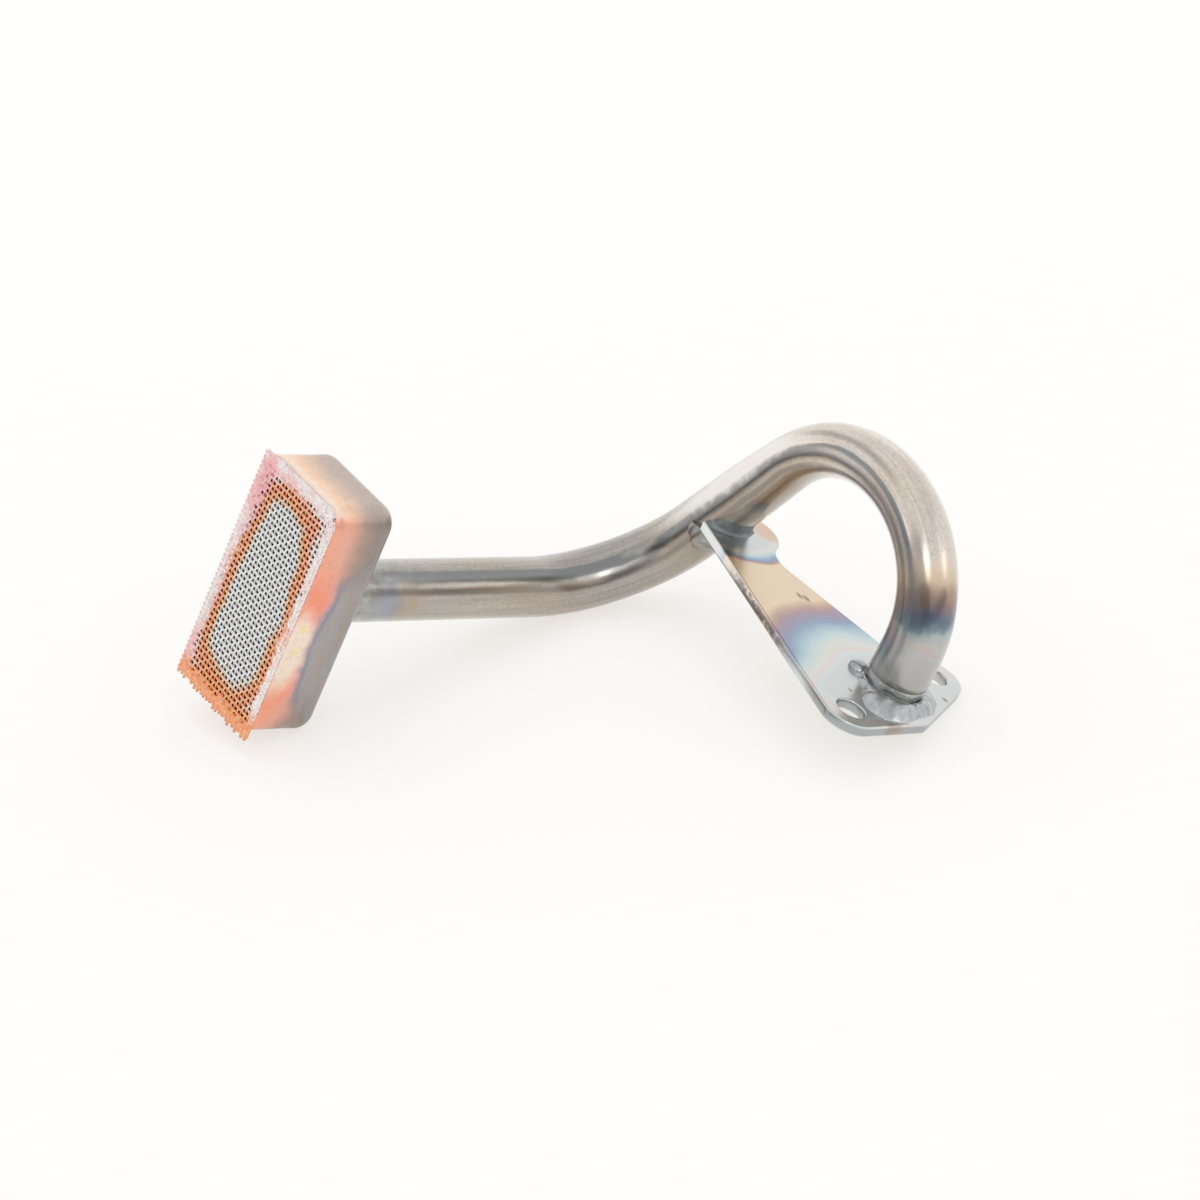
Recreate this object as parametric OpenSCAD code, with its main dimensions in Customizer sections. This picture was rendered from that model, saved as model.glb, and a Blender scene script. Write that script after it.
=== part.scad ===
// Oil pickup tube: a bent steel pipe with a drawn strainer cup at its inlet, and
// a bolt-on flange at its outlet whose arm reaches back to brace the pipe.
// Everything is drawn from the flange: its upper face is z = 0, the outlet rises
// along +Z, the hook of the pipe turns over towards -X, and the inlet leg runs
// off along -Y to the strainer. The finished part is then laid on the ground.

/* [Strainer] */
// Length of the cup
cup_l = 91.2; // [76:0.2:120]
// Width of the cup
cup_w = 44.4; // [38:0.2:60]
// Thickness of the woven screen
screen_t = 1.2; // [0.8:0.1:2]
// Openings along the screen
cells_l = 17; // [6:1:17]
// Openings across the screen
cells_w = 7; // [3:1:7]
// Width of the strands between openings
strand = 1.2; // [0.6:0.1:2]
// Border of the screen that the braze metal fills, on both long sides and the upper end
border = 3; // [2:0.25:5]
// Border that the braze metal fills at the lower end
border_low = 6; // [3:0.5:10]
// How far the cup's rim shows past the screen's upper end
rim_show = 1; // [0.2:0.1:1]
// How far the cup's rim shows past the screen's long sides
side_show = 0.2; // [0:0.1:0.8]
// Wires that stand out free past the screen's lower end
wire_ends = 22; // [10:1:24]
// Width of those wires
wire_w = 0.8; // [0.5:0.1:1]
// Length of those wires
wire_out = 2; // [1:0.25:3]
// Depth of the cup
cup_depth = 28.8; // [18:0.2:36]
// Sheet thickness of the cup
cup_t = 1.2; // [1.1:0.1:2]
// Radius of the cup's upright corners
cup_corner_r = 7; // [6.5:0.5:12]
// Radius round the cup's back edge
cup_back_r = 6; // [4:0.5:6]
// Turn of the strainer about the inlet leg, from the plane of the first bend
clock = 30; // [20:0.5:45]
// Thickness of the braze band round the cup's rim
rim_bead = 0.3; // [0.2:0.1:0.8]
// Height of the braze band round the cup's rim
rim_bead_h = 2.4; // [0.8:0.1:4]

/* [Pipe] */
// Outside diameter of the pipe
pipe_od = 22; // [18:0.5:26]
// Wall of the pipe
pipe_wall = 1.5; // [1:0.1:2.5]
// Radius of both bends, on the pipe's axis
bend_r = 45; // [40:0.5:60]
// Straight inlet leg, from the cup's back to the first bend
inlet_leg = 98; // [80:1:130]
// Straight between the two bends
mid_leg = 51; // [46:1:70]
// Straight from the flange's upper face to the hook
outlet_leg = 13.5; // [9:0.5:25]
// Lean of the middle straight from the flange's normal
mid_lean = 27; // [20:0.5:32]
// How much the bends draw in from the straights, inside and out
draw_in = 0.05; // [0.02:0.01:0.3]
// How far the pipe's end stands into the cup
inlet_lip = 1; // [0.5:0.25:4]
// Diameter of the turned end that sits in the flange
spigot_od = 21.2; // [20.5:0.1:22]
// Height of the turned end above the flange
spigot_h = 5.1; // [3:0.1:8]
// Leg of the fillet between the pipe and the cup
inlet_fillet = 1.5; // [0.8:0.1:3]

/* [Flange] */
// Thickness of the flange and its arm
plate_t = 4; // [3:0.25:6]
// Distance between the two bolt holes
bolt_pcd = 58; // [52:0.5:70]
// Diameter of the bolt holes
bolt_d = 10.5; // [6:0.5:11]
// Turn of the bolt line from the inlet leg's direction
bolt_turn = 15; // [5:1:20]
// Place of the bolt line's middle ahead of the outlet's axis
bolt_ahead = 2.3; // [0:0.1:4]
// Place of the bolt line's middle on the strainer's side of the outlet's axis
bolt_side = 1.3; // [0:0.1:3]
// Radius of the flange's two ears
ear_r = 11; // [9:0.1:13]
// Reach of the flange's nose ahead of the outlet's axis
nose_reach = 20.8; // [19.5:0.1:24]
// Place of the nose on the strainer's side of the outlet's axis
nose_side = 2; // [0:0.25:4]
// Radius of the nose
nose_r = 8; // [5:0.25:11]
// How far the pipe's end stays behind the flange's lower face
seat_recess = 0.5; // [0.2:0.1:1.5]
// Width of the weld bead on the flange
flange_bead = 7; // [4:0.25:7.5]
// Height of the weld bead on the flange
flange_bead_h = 4.2; // [3:0.1:5]

/* [Arm] */
// Taper of the arm's edge on the strainer's side
near_taper = 15.2; // [13:0.1:16]
// Taper of the arm's other edge
far_taper = 12.4; // [11:0.1:14]
// Distance of that edge from the far bolt hole's middle
far_drop = 6; // [4:0.25:7]
// Radius in the corner between the far ear and the arm
ear_neck_r = 4; // [2:0.5:8]
// Radius of the lobe beside the pipe
lobe_r = 12.6; // [11:0.1:15]
// Place of the lobe ahead of the pipe's axis
lobe_ahead = 10.4; // [8:0.2:13]
// Place of the lobe to the side of the pipe's axis
lobe_side = 6; // [4:0.2:8]
// Radius in the neck between the arm and the lobe
neck_r = 12; // [6:0.5:16]
// How far the saddle reaches past the pipe's front
saddle_wrap = 8; // [5:0.5:11]
// Leg of the weld on the saddle's upper side
saddle_bead = 5.5; // [3:0.25:7]
// Leg of the weld on the saddle's lower side
under_bead = 3.5; // [2:0.25:5]

/* [Hidden] */
$fn = 96;

pipe_r = pipe_od / 2;
bore_r = pipe_r - pipe_wall;
spigot_r = spigot_od / 2;
hook_turn = 180 - mid_lean;
slip = 1;
lap = 0.2;
arc_steps = 40;

// Directions: along the inlet leg, up the middle straight, and from it to the hook's centre
along = [0, 1, 0];
lean = [sin(mid_lean), 0, cos(mid_lean)];
inward = [cos(mid_lean), 0, -sin(mid_lean)];

// Points on the pipe's axis
hook_c = [-bend_r, 0, outlet_leg];
mid_top = hook_c - bend_r * inward;
mid_low = mid_top - mid_leg * lean;
bend_c = mid_low - bend_r * along;
leg_top = bend_c - bend_r * lean;
cup_back = leg_top - inlet_leg * along;

// The strainer's own directions
cup_tilt = clock - mid_lean;
long_dir = [-sin(cup_tilt), 0, cos(cup_tilt)];
short_dir = [-cos(cup_tilt), 0, -sin(cup_tilt)];
screen_low = -cup_l / 2;
screen_top = cup_l / 2 - rim_show;
screen_w = cup_w - 2 * side_show;

// The flange's outline
bolt_mid = [bolt_ahead, -bolt_side];
bolt_dir = [sin(bolt_turn), -cos(bolt_turn)];
hole_near = bolt_mid + bolt_dir * bolt_pcd / 2;
hole_far = bolt_mid - bolt_dir * bolt_pcd / 2;
nose_c = [nose_reach - nose_r, -nose_side];

// The arm's straight edges, each a point and a heading away from the flange
head_near = [-cos(near_taper), sin(near_taper)];
head_far = [-cos(far_taper), -sin(far_taper)];
out_far = [-sin(far_taper), cos(far_taper)];
edge_near = hole_near - ear_r * [sin(near_taper), cos(near_taper)];
edge_far = hole_far - far_drop * out_far;

// Where the middle straight goes through the arm, and the arm's end
cross_x = mid_low.x - mid_low.z * tan(mid_lean);
cross_a = pipe_r / cos(mid_lean);
arm_end = cross_x + cross_a - saddle_wrap;
lobe_c = [cross_x + lobe_ahead, lobe_side];

function unit(v) = v / norm(v);
function flat(v) = [v.x, v.y];
function heading(v) = atan2(v.y, v.x);
function on_edge(p, u, x) = p + u * ((x - p.x) / u.x);
function arc(c, r, a, b) = [for (i = [0 : arc_steps]) let (t = a + (b - a) * i / arc_steps) c + r * [cos(t), sin(t)]];

// Normal of the tangent line on one side of two circles
function tangent(c1, r1, c2, r2, side) =
    let (u = unit(c2 - c1), k = (r1 - r2) / norm(c2 - c1))
    u * k + side * sqrt(1 - k * k) * [-u.y, u.x];

// Centre of a fillet that touches the arm's far edge and a circle, on one side of that circle
function blend_centre(c, r, fillet, side) =
    let (q = edge_far + out_far * fillet, w = q - c, b = w * head_far, s = r + fillet)
    q + head_far * (side * sqrt(b * b - w * w + s * s) - b);

// The lowest points of the three places that touch the ground, for a given upward direction
function foot_bend(up) =
    let (a = min(90, max(0, atan2(-(up * along), up * lean))))
    bend_c + bend_r * (along * sin(a) - lean * cos(a)) - pipe_r * up;
function foot_ear(up) =
    let (p = hole_far - ear_r * unit(flat(up)))
    [p.x, p.y, -plate_t];
function cup_ring(i, j) =
    cup_back - along * cup_back_r
    + i * long_dir * (cup_l / 2 - cup_corner_r) + j * short_dir * (cup_w / 2 - cup_corner_r);
function foot_cup(up) =
    let (w = up - along * (up * along))
    cup_ring(-1, -1) - (cup_corner_r - cup_back_r) * unit(w) - cup_back_r * up;

// The upward direction when the part lies on those three places
function settle(up, steps) =
    steps == 0 ? up :
    let (a = foot_bend(up), n = cross(foot_ear(up) - a, foot_cup(up) - a))
    settle(unit(n * sign(n.z)), steps - 1);

up_dir = settle(unit([-0.2, -0.3, 0.9]), 20);
fore_dir = unit(along - up_dir * (along * up_dir));
left_dir = cross(up_dir, fore_dir);

// How far the part reaches in a direction
function disc(c, z, r, v) = [c.x, c.y, z] * v + r * norm(flat(v));
function hoop(c, t, v) = c * v + pipe_r * norm(v - t * (t * v));
function reach(v) = max([
    for (x = [screen_low - wire_out, screen_top], j = [-1, 1], k = [0, screen_t])
        (cup_back - along * (cup_depth + k) + x * long_dir + j * screen_w / 2 * short_dir) * v,
    for (i = [-1, 1], j = [-1, 1])
        cup_ring(i, j) * v + (cup_corner_r - cup_back_r) * norm(v - along * (along * v)) + cup_back_r,
    for (z = [0, -plate_t], e = [[hole_near, ear_r], [hole_far, ear_r], [nose_c, nose_r]])
        disc(e[0], z, e[1], v),
    for (a = [0 : hook_turn / 60 : hook_turn])
        hoop(hook_c + bend_r * [cos(a), 0, sin(a)], [-sin(a), 0, cos(a)], v),
    for (a = [0 : 2 : 90])
        hoop(bend_c + bend_r * (along * sin(a) - lean * cos(a)), along * cos(a) + lean * sin(a), v)
]);
function centred(v) = (reach(-v) - reach(v)) / 2;

// Lay the part on the ground, with its inlet leg pointing along X
module at_rest() {
    multmatrix([
        [fore_dir.x, fore_dir.y, fore_dir.z, centred(fore_dir)],
        [left_dir.x, left_dir.y, left_dir.z, centred(left_dir)],
        [up_dir.x, up_dir.y, up_dir.z, reach(-up_dir)],
        [0, 0, 0, 1]
    ])
        children();
}

// Frame whose axes and origin are given
module in_frame(x, y, z, o) {
    multmatrix([[x.x, y.x, z.x, o.x], [x.y, y.y, z.y, o.y], [x.z, y.z, z.z, o.z], [0, 0, 0, 1]])
        children();
}

// The strainer's frame: the cup's back at z = 0, the screen up along z, its length along x
module on_strainer() {
    in_frame(long_dir, short_dir, -along, cup_back)
        children();
}

// Straight length of pipe along z
module pipe(od, l) {
    linear_extrude(l)
        difference() {
            circle(d = od);
            circle(r = bore_r);
        }
}

// Bend of the pipe: it starts along z and turns towards x
module elbow(turn) {
    translate([bend_r, 0, 0])
        rotate([90, 0, 180])
            rotate_extrude(angle = turn)
                translate([bend_r, 0])
                    difference() {
                        circle(r = pipe_r - draw_in);
                        circle(r = bore_r + draw_in);
                    }
}

// Solid middle straight, for whatever fits round it
module mid_solid() {
    translate(mid_low - lap * lean)
        rotate([0, mid_lean, 0])
            cylinder(h = mid_leg + 2 * lap, r = pipe_r);
}

// Rectangle with round corners
module rounded(l, w, r) {
    square([l - 2 * r, w], center = true);
    square([l, w - 2 * r], center = true);
    for (i = [-1, 1], j = [-1, 1])
        translate([i * (l / 2 - r), j * (w / 2 - r)])
            circle(r = r);
}

// Half section of a block's wall, with its lower outer edge rounded
module edge_section(rc, rb, h) {
    difference() {
        square([rc, h]);
        difference() {
            translate([rc - rb, -slip])
                square([rb + slip, rb + slip]);
            translate([rc - rb, rb])
                circle(r = rb);
        }
    }
}

// Block with round upright corners and a round lower edge
module soft_block(l, w, h, rc, rb) {
    x = l / 2 - rc;
    y = w / 2 - rc;
    translate([-x, -y, 0])
        cube([2 * x, 2 * y, h]);
    for (a = [0, 180])
        rotate([0, 0, a]) {
            translate([x, y, 0])
                rotate([90, 0, 0])
                    linear_extrude(2 * y)
                        edge_section(rc, rb, h);
            translate([-x, y, 0])
                rotate([90, 0, 90])
                    linear_extrude(2 * x)
                        edge_section(rc, rb, h);
            translate([x, y, 0])
                rotate_extrude(angle = 90)
                    edge_section(rc, rb, h);
            translate([-x, y, 0])
                rotate([0, 0, 90])
                    rotate_extrude(angle = 90)
                        edge_section(rc, rb, h);
        }
}

// Outline of the flange and its tapering arm: round the near ear, the nose and the far ear,
// then up the arm's far edge between two necks, round the lobe and back down the near edge
module plate_outline() {
    near_nose = heading(tangent(hole_near, ear_r, nose_c, nose_r, -1));
    nose_far = heading(tangent(nose_c, nose_r, hole_far, ear_r, -1));
    ear_neck = blend_centre(hole_far, ear_r, ear_neck_r, 1);
    ear_end = heading(hole_far - ear_neck);
    neck = blend_centre(lobe_c, lobe_r, neck_r, -1);
    edge_side = heading(-out_far);
    lobe_end = acos((arm_end - lobe_c.x) / lobe_r);
    polygon([
        each arc(hole_near, ear_r, heading(edge_near - hole_near), near_nose),
        each arc(nose_c, nose_r, near_nose, nose_far),
        each arc(hole_far, ear_r, nose_far, ear_end + 180),
        each arc(ear_neck, ear_neck_r, ear_end, edge_side),
        each arc(neck, neck_r, edge_side, heading(lobe_c - neck)),
        each arc(lobe_c, lobe_r, heading(neck - lobe_c), lobe_end),
        on_edge(edge_near, head_near, arm_end)
    ]);
}

// The screen's outline with its free wires, and its openings
module screen_outline() {
    side = screen_w / 2;
    open_low = screen_low + border_low;
    open_top = screen_top - border;
    step_l = (open_top - open_low + strand) / cells_l;
    step_w = (screen_w - 2 * border + strand) / cells_w;
    step_wire = screen_w / wire_ends;
    function wire(y) = [
        [screen_low, y - wire_w / 2], [screen_low - wire_out, y - wire_w / 2],
        [screen_low - wire_out, y + wire_w / 2], [screen_low, y + wire_w / 2]
    ];
    function opening(x, y) = [
        [x, y], [x + step_l - strand, y], [x + step_l - strand, y + step_w - strand], [x, y + step_w - strand]
    ];
    edge = [
        [screen_low, side], [screen_top, side], [screen_top, -side], [screen_low, -side],
        for (k = [0 : wire_ends - 1]) each wire((k + 0.5) * step_wire - side)
    ];
    openings = [
        for (i = [0 : cells_l - 1], j = [0 : cells_w - 1])
            opening(open_low + i * step_l, border - side + j * step_w)
    ];
    loops = [edge, each openings];
    starts = [0, for (k = [0 : len(openings) - 1]) len(edge) + 4 * k];
    polygon([for (p = loops) each p], [for (k = [0 : len(loops) - 1]) [for (m = [0 : len(loops[k]) - 1]) starts[k] + m]]);
}

// Deep-drawn cup with the pipe's hole in its back
module strainer_cup() {
    color("#a39a90")
        at_rest()
            on_strainer()
                difference() {
                    soft_block(cup_l, cup_w, cup_depth, cup_corner_r, cup_back_r);
                    translate([0, 0, cup_t])
                        soft_block(cup_l - 2 * cup_t, cup_w - 2 * cup_t, cup_depth,
                                   cup_corner_r - cup_t, cup_back_r - cup_t);
                    translate([0, 0, -slip])
                        cylinder(h = cup_t + 2 * slip, r = pipe_r);
                }
}

// Woven screen over the cup's mouth
module strainer_screen() {
    color("#d98a62")
        at_rest()
            on_strainer()
                translate([0, 0, cup_depth])
                    linear_extrude(screen_t)
                        screen_outline();
}

// Braze band round the cup's rim
module rim_braze() {
    color("#e8a07c")
        at_rest()
            on_strainer()
                translate([0, 0, cup_depth - rim_bead_h])
                    linear_extrude(rim_bead_h)
                        difference() {
                            rounded(cup_l + 2 * rim_bead, cup_w + 2 * rim_bead, cup_corner_r + rim_bead);
                            rounded(cup_l, cup_w, cup_corner_r);
                        }
}

// Fillet where the pipe enters the cup
module inlet_fillet_ring() {
    color("#97928d")
        at_rest()
            on_strainer()
                mirror([0, 0, 1])
                    rotate_extrude()
                        difference() {
                            translate([pipe_r, 0])
                                square(inlet_fillet);
                            translate([pipe_r + inlet_fillet, inlet_fillet])
                                circle(r = inlet_fillet);
                        }
}

// Bent pipe, from inside the cup to its turned end in the flange
module suction_pipe() {
    color("#8c867f")
        at_rest() {
            translate([0, 0, seat_recess - plate_t])
                pipe(spigot_od, plate_t - seat_recess + spigot_h);
            translate([0, 0, spigot_h])
                pipe(pipe_od, outlet_leg - spigot_h + lap);
            translate([0, 0, outlet_leg])
                rotate([0, 0, 180])
                    elbow(hook_turn);
            translate(mid_low - lap * lean)
                rotate([0, mid_lean, 0])
                    pipe(pipe_od, mid_leg + 2 * lap);
            in_frame(-along, cross(lean, along), -lean, mid_low)
                elbow(90);
            translate(leg_top + lap * along)
                rotate([90, 0, 0])
                    pipe(pipe_od, lap + inlet_leg + cup_t + inlet_lip);
        }
}

// Flange and arm, cut from one plate
module flange_bracket() {
    color("#a9b0b3")
        at_rest()
            difference() {
                translate([0, 0, -plate_t])
                    linear_extrude(plate_t)
                        plate_outline();
                translate([0, 0, -plate_t - slip])
                    cylinder(h = plate_t + 2 * slip, r = spigot_r);
                for (h = [hole_near, hole_far])
                    translate([h.x, h.y, -plate_t - slip])
                        cylinder(h = plate_t + 2 * slip, d = bolt_d);
                mid_solid();
            }
}

// Weld bead round the outlet, on the flange's upper face
module flange_weld() {
    bead_r = (flange_bead * flange_bead / 4 + flange_bead_h * flange_bead_h) / (2 * flange_bead_h);
    color("#b9c0c6")
        at_rest()
            rotate_extrude()
                intersection() {
                    translate([spigot_r + flange_bead / 2, flange_bead_h - bead_r])
                        circle(r = bead_r);
                    translate([spigot_r, 0])
                        square([flange_bead, flange_bead_h + slip]);
                }
}

// Weld in the saddle, on the arm's upper face
module saddle_weld_upper() {
    rise = saddle_bead * tan(mid_lean);
    color("#70757a")
        at_rest()
            difference() {
                intersection() {
                    translate([cross_x + rise / 2, 0, 0])
                        cylinder(h = saddle_bead, r1 = cross_a + saddle_bead, r2 = cross_a);
                    linear_extrude(saddle_bead)
                        plate_outline();
                }
                mid_solid();
            }
}

// Weld under the saddle
module saddle_weld_lower() {
    fall = (plate_t + under_bead / 2) * tan(mid_lean);
    color("#8a8e92")
        at_rest()
            difference() {
                intersection() {
                    translate([cross_x - fall, 0, -plate_t - under_bead])
                        cylinder(h = under_bead, r1 = cross_a, r2 = cross_a + under_bead);
                    translate([0, 0, -plate_t - under_bead])
                        linear_extrude(under_bead)
                            plate_outline();
                }
                mid_solid();
            }
}

strainer_cup();
strainer_screen();
rim_braze();
inlet_fillet_ring();
suction_pipe();
flange_bracket();
flange_weld();
saddle_weld_upper();
saddle_weld_lower();
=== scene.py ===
# %% [markdown]
# # An oil pickup tube
# The real part sits in an engine's sump. Oil goes in through a woven screen, along a bent
# steel pipe and out at a bolted flange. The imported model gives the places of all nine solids,
# so every piece below is modelled in millimetres in a frame of the part itself and laid down
# at the end. That keeps the numbers as plain as they are on a drawing. Blender starts its vector
# noise from the clock, so it gets a seed here, and every run gives the same lumps.

# %% Load the frame
from math import acos, asin, atan2, cos, degrees, pi, radians, sin, sqrt, tan

import bmesh
import bpy
from mathutils import Matrix, Vector, noise


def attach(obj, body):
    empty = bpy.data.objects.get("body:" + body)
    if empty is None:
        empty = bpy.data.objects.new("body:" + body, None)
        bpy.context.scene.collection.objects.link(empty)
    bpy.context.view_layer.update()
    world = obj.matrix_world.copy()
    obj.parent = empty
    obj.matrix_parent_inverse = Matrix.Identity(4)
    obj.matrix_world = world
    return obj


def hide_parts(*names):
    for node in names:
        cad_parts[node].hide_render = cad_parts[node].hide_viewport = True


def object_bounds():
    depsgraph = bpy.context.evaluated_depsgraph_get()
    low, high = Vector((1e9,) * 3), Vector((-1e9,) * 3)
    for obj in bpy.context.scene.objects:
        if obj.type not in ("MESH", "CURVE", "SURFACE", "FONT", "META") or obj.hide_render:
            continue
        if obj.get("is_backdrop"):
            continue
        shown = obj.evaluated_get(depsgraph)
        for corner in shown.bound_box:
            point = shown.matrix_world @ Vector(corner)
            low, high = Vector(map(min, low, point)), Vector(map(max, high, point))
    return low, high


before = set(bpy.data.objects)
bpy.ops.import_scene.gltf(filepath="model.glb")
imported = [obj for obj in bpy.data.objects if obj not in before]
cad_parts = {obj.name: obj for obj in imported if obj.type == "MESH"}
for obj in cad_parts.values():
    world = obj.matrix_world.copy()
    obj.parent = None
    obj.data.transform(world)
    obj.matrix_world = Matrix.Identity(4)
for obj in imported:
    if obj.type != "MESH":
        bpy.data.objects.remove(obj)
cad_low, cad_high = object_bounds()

MM = 0.001
UP = Vector((0, 0, 1))
ops = bmesh.ops
noise.seed_set(1)
print("solids in the frame:", ", ".join(sorted(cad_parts)))

# %% [markdown]
# ## Two frames of the part
# The flange's frame has its origin where the outlet's axis leaves the plate's upper face, with
# z along the outlet. The strainer's frame has its origin at the back of the cup, with z out
# through the screen and x along it. Each is kept as one matrix, which takes millimetres in
# that frame to metres on the floor, so that a whole mesh is laid down in one transform.

# %% The flange's frame and the strainer's frame
MID_LEAN = radians(27)
CUP_TILT = radians(3)
PIPE_R = 11
BEND_R = 45
MID_LEG = 51
INLET_LEG = 98
ALONG = Vector((0, 1, 0))
LEAN = Vector((sin(MID_LEAN), 0, cos(MID_LEAN)))
INWARD = Vector((cos(MID_LEAN), 0, -sin(MID_LEAN)))
HOOK_C = Vector((-BEND_R, 0, 13.5))
MID_TOP = HOOK_C - BEND_R * INWARD
MID_LOW = MID_TOP - MID_LEG * LEAN
BEND_C = MID_LOW - BEND_R * ALONG
CUP_BACK = BEND_C - BEND_R * LEAN - INLET_LEG * ALONG

laid = Matrix(((-0.0815643, 0.951424, 0.296885),
               (-0.964271, 0, -0.264918),
               (-0.252049, -0.307885, 0.91743))).to_4x4()
laid.translation = (74.4224, -74.6853, 14.9587)
FLANGE = Matrix.Scale(MM, 4) @ laid

long_dir = Vector((-sin(CUP_TILT), 0, cos(CUP_TILT)))
short_dir = Vector((-cos(CUP_TILT), 0, -sin(CUP_TILT)))
cup_axes = Matrix((long_dir, short_dir, -ALONG)).transposed().to_4x4()
cup_axes.translation = CUP_BACK
STRAINER = FLANGE @ cup_axes
print("the cup's back lies at", [round(c, 4) for c in STRAINER.translation])

# %% [markdown]
# ## The camera
# The photograph was taken with a long lens from the strainer's side, looking about 28 degrees
# down. A camera can be aimed by an empty that it tracks, but here its three directions are
# known from measuring the photograph, so they become the columns of its matrix.

# %% Camera
scene = bpy.context.scene
scene.view_settings.view_transform = "Standard"

lens = bpy.data.cameras.new("long_lens")
lens.sensor_width = 36
lens.lens = 128.6457
lens.clip_end = 60
camera = bpy.data.objects.new("camera", lens)
sight = Vector((0.578723, 0.661847, -0.476485))
camera_up = Vector((0.304487, 0.366661, 0.879118))
camera_axes = Matrix((sight.cross(camera_up), camera_up, -sight)).transposed().to_4x4()
camera_axes.translation = (-0.850615, -0.978881, 0.746932)
camera.matrix_world = camera_axes
scene.collection.objects.link(camera)
scene.camera = camera
print("camera looks down by", round(degrees(asin(-sight.z)), 1), "degrees")

# %% [markdown]
# ## Small helpers for nodes
# A material is a graph of nodes. Writing each node and link out in full hides what the graph
# does, so a few short functions add a node to the tree on the bench, feed its sockets and
# return what comes out. A value that is a socket becomes a link, and any other value is typed
# into the socket. Colours are written as three parts of linear light, as the shader takes them.

# %% Node helpers
class Bench:
    """Holds the node tree that is being built, where the helpers put their nodes."""
    tree = None


def feed(socket, value):
    """Links a socket to another one, or types a plain value into it."""
    if isinstance(value, bpy.types.NodeSocket):
        Bench.tree.links.new(value, socket)
    else:
        socket.default_value = (*value, 1) if socket.type == "RGBA" else value


def put(kind, inputs=None, **options):
    """Adds a node with its options and what goes into it."""
    made = Bench.tree.nodes.new(kind)
    for name, value in options.items():
        setattr(made, name, value)
    for name, value in (inputs or {}).items():
        feed(made.inputs[name], value)
    return made


def calc(operation, *values, clamp=False):
    """One step of arithmetic."""
    return put("ShaderNodeMath", dict(enumerate(values)), operation=operation,
               use_clamp=clamp).outputs[0]


def times(first, *others):
    """The product of two values or more."""
    for value in others:
        first = calc("MULTIPLY", first, value)
    return first


def scaled(value, factor, offset, clamp=False):
    """The value times a factor, plus an offset."""
    return calc("MULTIPLY_ADD", value, factor, offset, clamp=clamp)


def vec(operation, *values):
    """One step of arithmetic on vectors. A length or a distance comes out as a value."""
    made = put("ShaderNodeVectorMath", dict(enumerate(values)), operation=operation)
    return made.outputs["Value" if operation in ("LENGTH", "DISTANCE") else "Vector"]


def band(value, low, high, kind="SMOOTHSTEP"):
    """Goes softly from 0 where the value is low to 1 where it is high."""
    return put("ShaderNodeMapRange", {"Value": value, "From Min": low, "From Max": high},
               interpolation_type=kind).outputs["Result"]


def slope(value, low, high):
    """Goes evenly from 0 where the value is low to 1 where it is high."""
    return band(value, low, high, "LINEAR")


def window(value, low, full, still, end):
    """Rises from 0 to 1 between low and full, and falls again between still and end."""
    return times(band(value, low, full), band(value, end, still))


def tint(amount, under, over, mode="MIX", share=1):
    """Lays one colour over another. Only that share of the amount counts."""
    if share < 1:
        amount = times(amount, share)
    return put("ShaderNodeMix", {0: amount, 6: under, 7: over}, data_type="RGBA",
               blend_type=mode).outputs[2]


def layers(colour, *coats):
    """Lays coats over a colour, each given as an amount, a colour and its share."""
    for amount, over, share in coats:
        colour = tint(amount, colour, over, share=share)
    return colour


def ramp(value, *stops):
    """A colour ramp, given as places and colours."""
    made = put("ShaderNodeValToRGB", {0: value})
    elements = made.color_ramp.elements
    while len(elements) < len(stops):
        elements.new(1)
    for element, (place, colour) in zip(elements, stops):
        element.position = place
        element.color = (*colour, 1)
    return made.outputs["Color"]


def cloud(vector, scale, detail=2, roughness=0.5):
    """Soft noise from 0 to 1."""
    return put("ShaderNodeTexNoise", {"Vector": vector, "Scale": scale, "Detail": detail,
               "Roughness": roughness}).outputs[0]


def split(vector):
    """The three parts of a vector."""
    return put("ShaderNodeSeparateXYZ", {0: vector}).outputs[:]


def stretched(vector, scale):
    """A place with each of its parts scaled, so that noise there is drawn out in lines."""
    return put("ShaderNodeMapping", {"Vector": vector, "Scale": scale}).outputs[0]


def reach(vector, centre, radii):
    """How far a place is from an ellipsoid's centre: 1 at its skin."""
    arm = vec("SUBTRACT", vector, centre)
    return vec("LENGTH", vec("DIVIDE", arm, radii))


def soft_spot(vector, centre, radii, edge):
    """1 inside an ellipsoid and 0 outside it, with a soft edge."""
    return band(reach(vector, centre, radii), 1 + edge / 2, 1 - edge / 2)


def stirred(vector, scale, amount):
    """A place that is moved about by noise, so that soft spots get uneven edges."""
    noisy = put("ShaderNodeTexNoise", {"Vector": vector, "Scale": scale, "Detail": 3})
    shift = vec("SUBTRACT", noisy.outputs["Color"], (0.5, 0.5, 0.5))
    return vec("MULTIPLY_ADD", shift, (amount, amount, amount), vector)


def place_mm(matrix):
    """The place on the surface, in millimetres in one of the part's own frames."""
    spot = put("ShaderNodeTexCoord").outputs["Object"]
    return put("ShaderNodeMapping", {
        "Vector": spot, "Location": matrix.translation, "Scale": matrix.to_scale(),
        "Rotation": matrix.to_euler()}, vector_type="TEXTURE").outputs[0]


print("node helpers are ready")

# %% [markdown]
# ## The studio
# In the photograph the floor and the backdrop are white, and the pipe shows a grey-blue room
# in front of them: a pale ceiling, darker walls to the left and right, and a few bright lamps.
# Lamps alone can't give these bands, because polished metal shows what stands around it. So
# the world is white, and grey cards stand where the room was. Only reflections see the cards,
# so they take no light from the part and never stand in the way of the camera.

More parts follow.
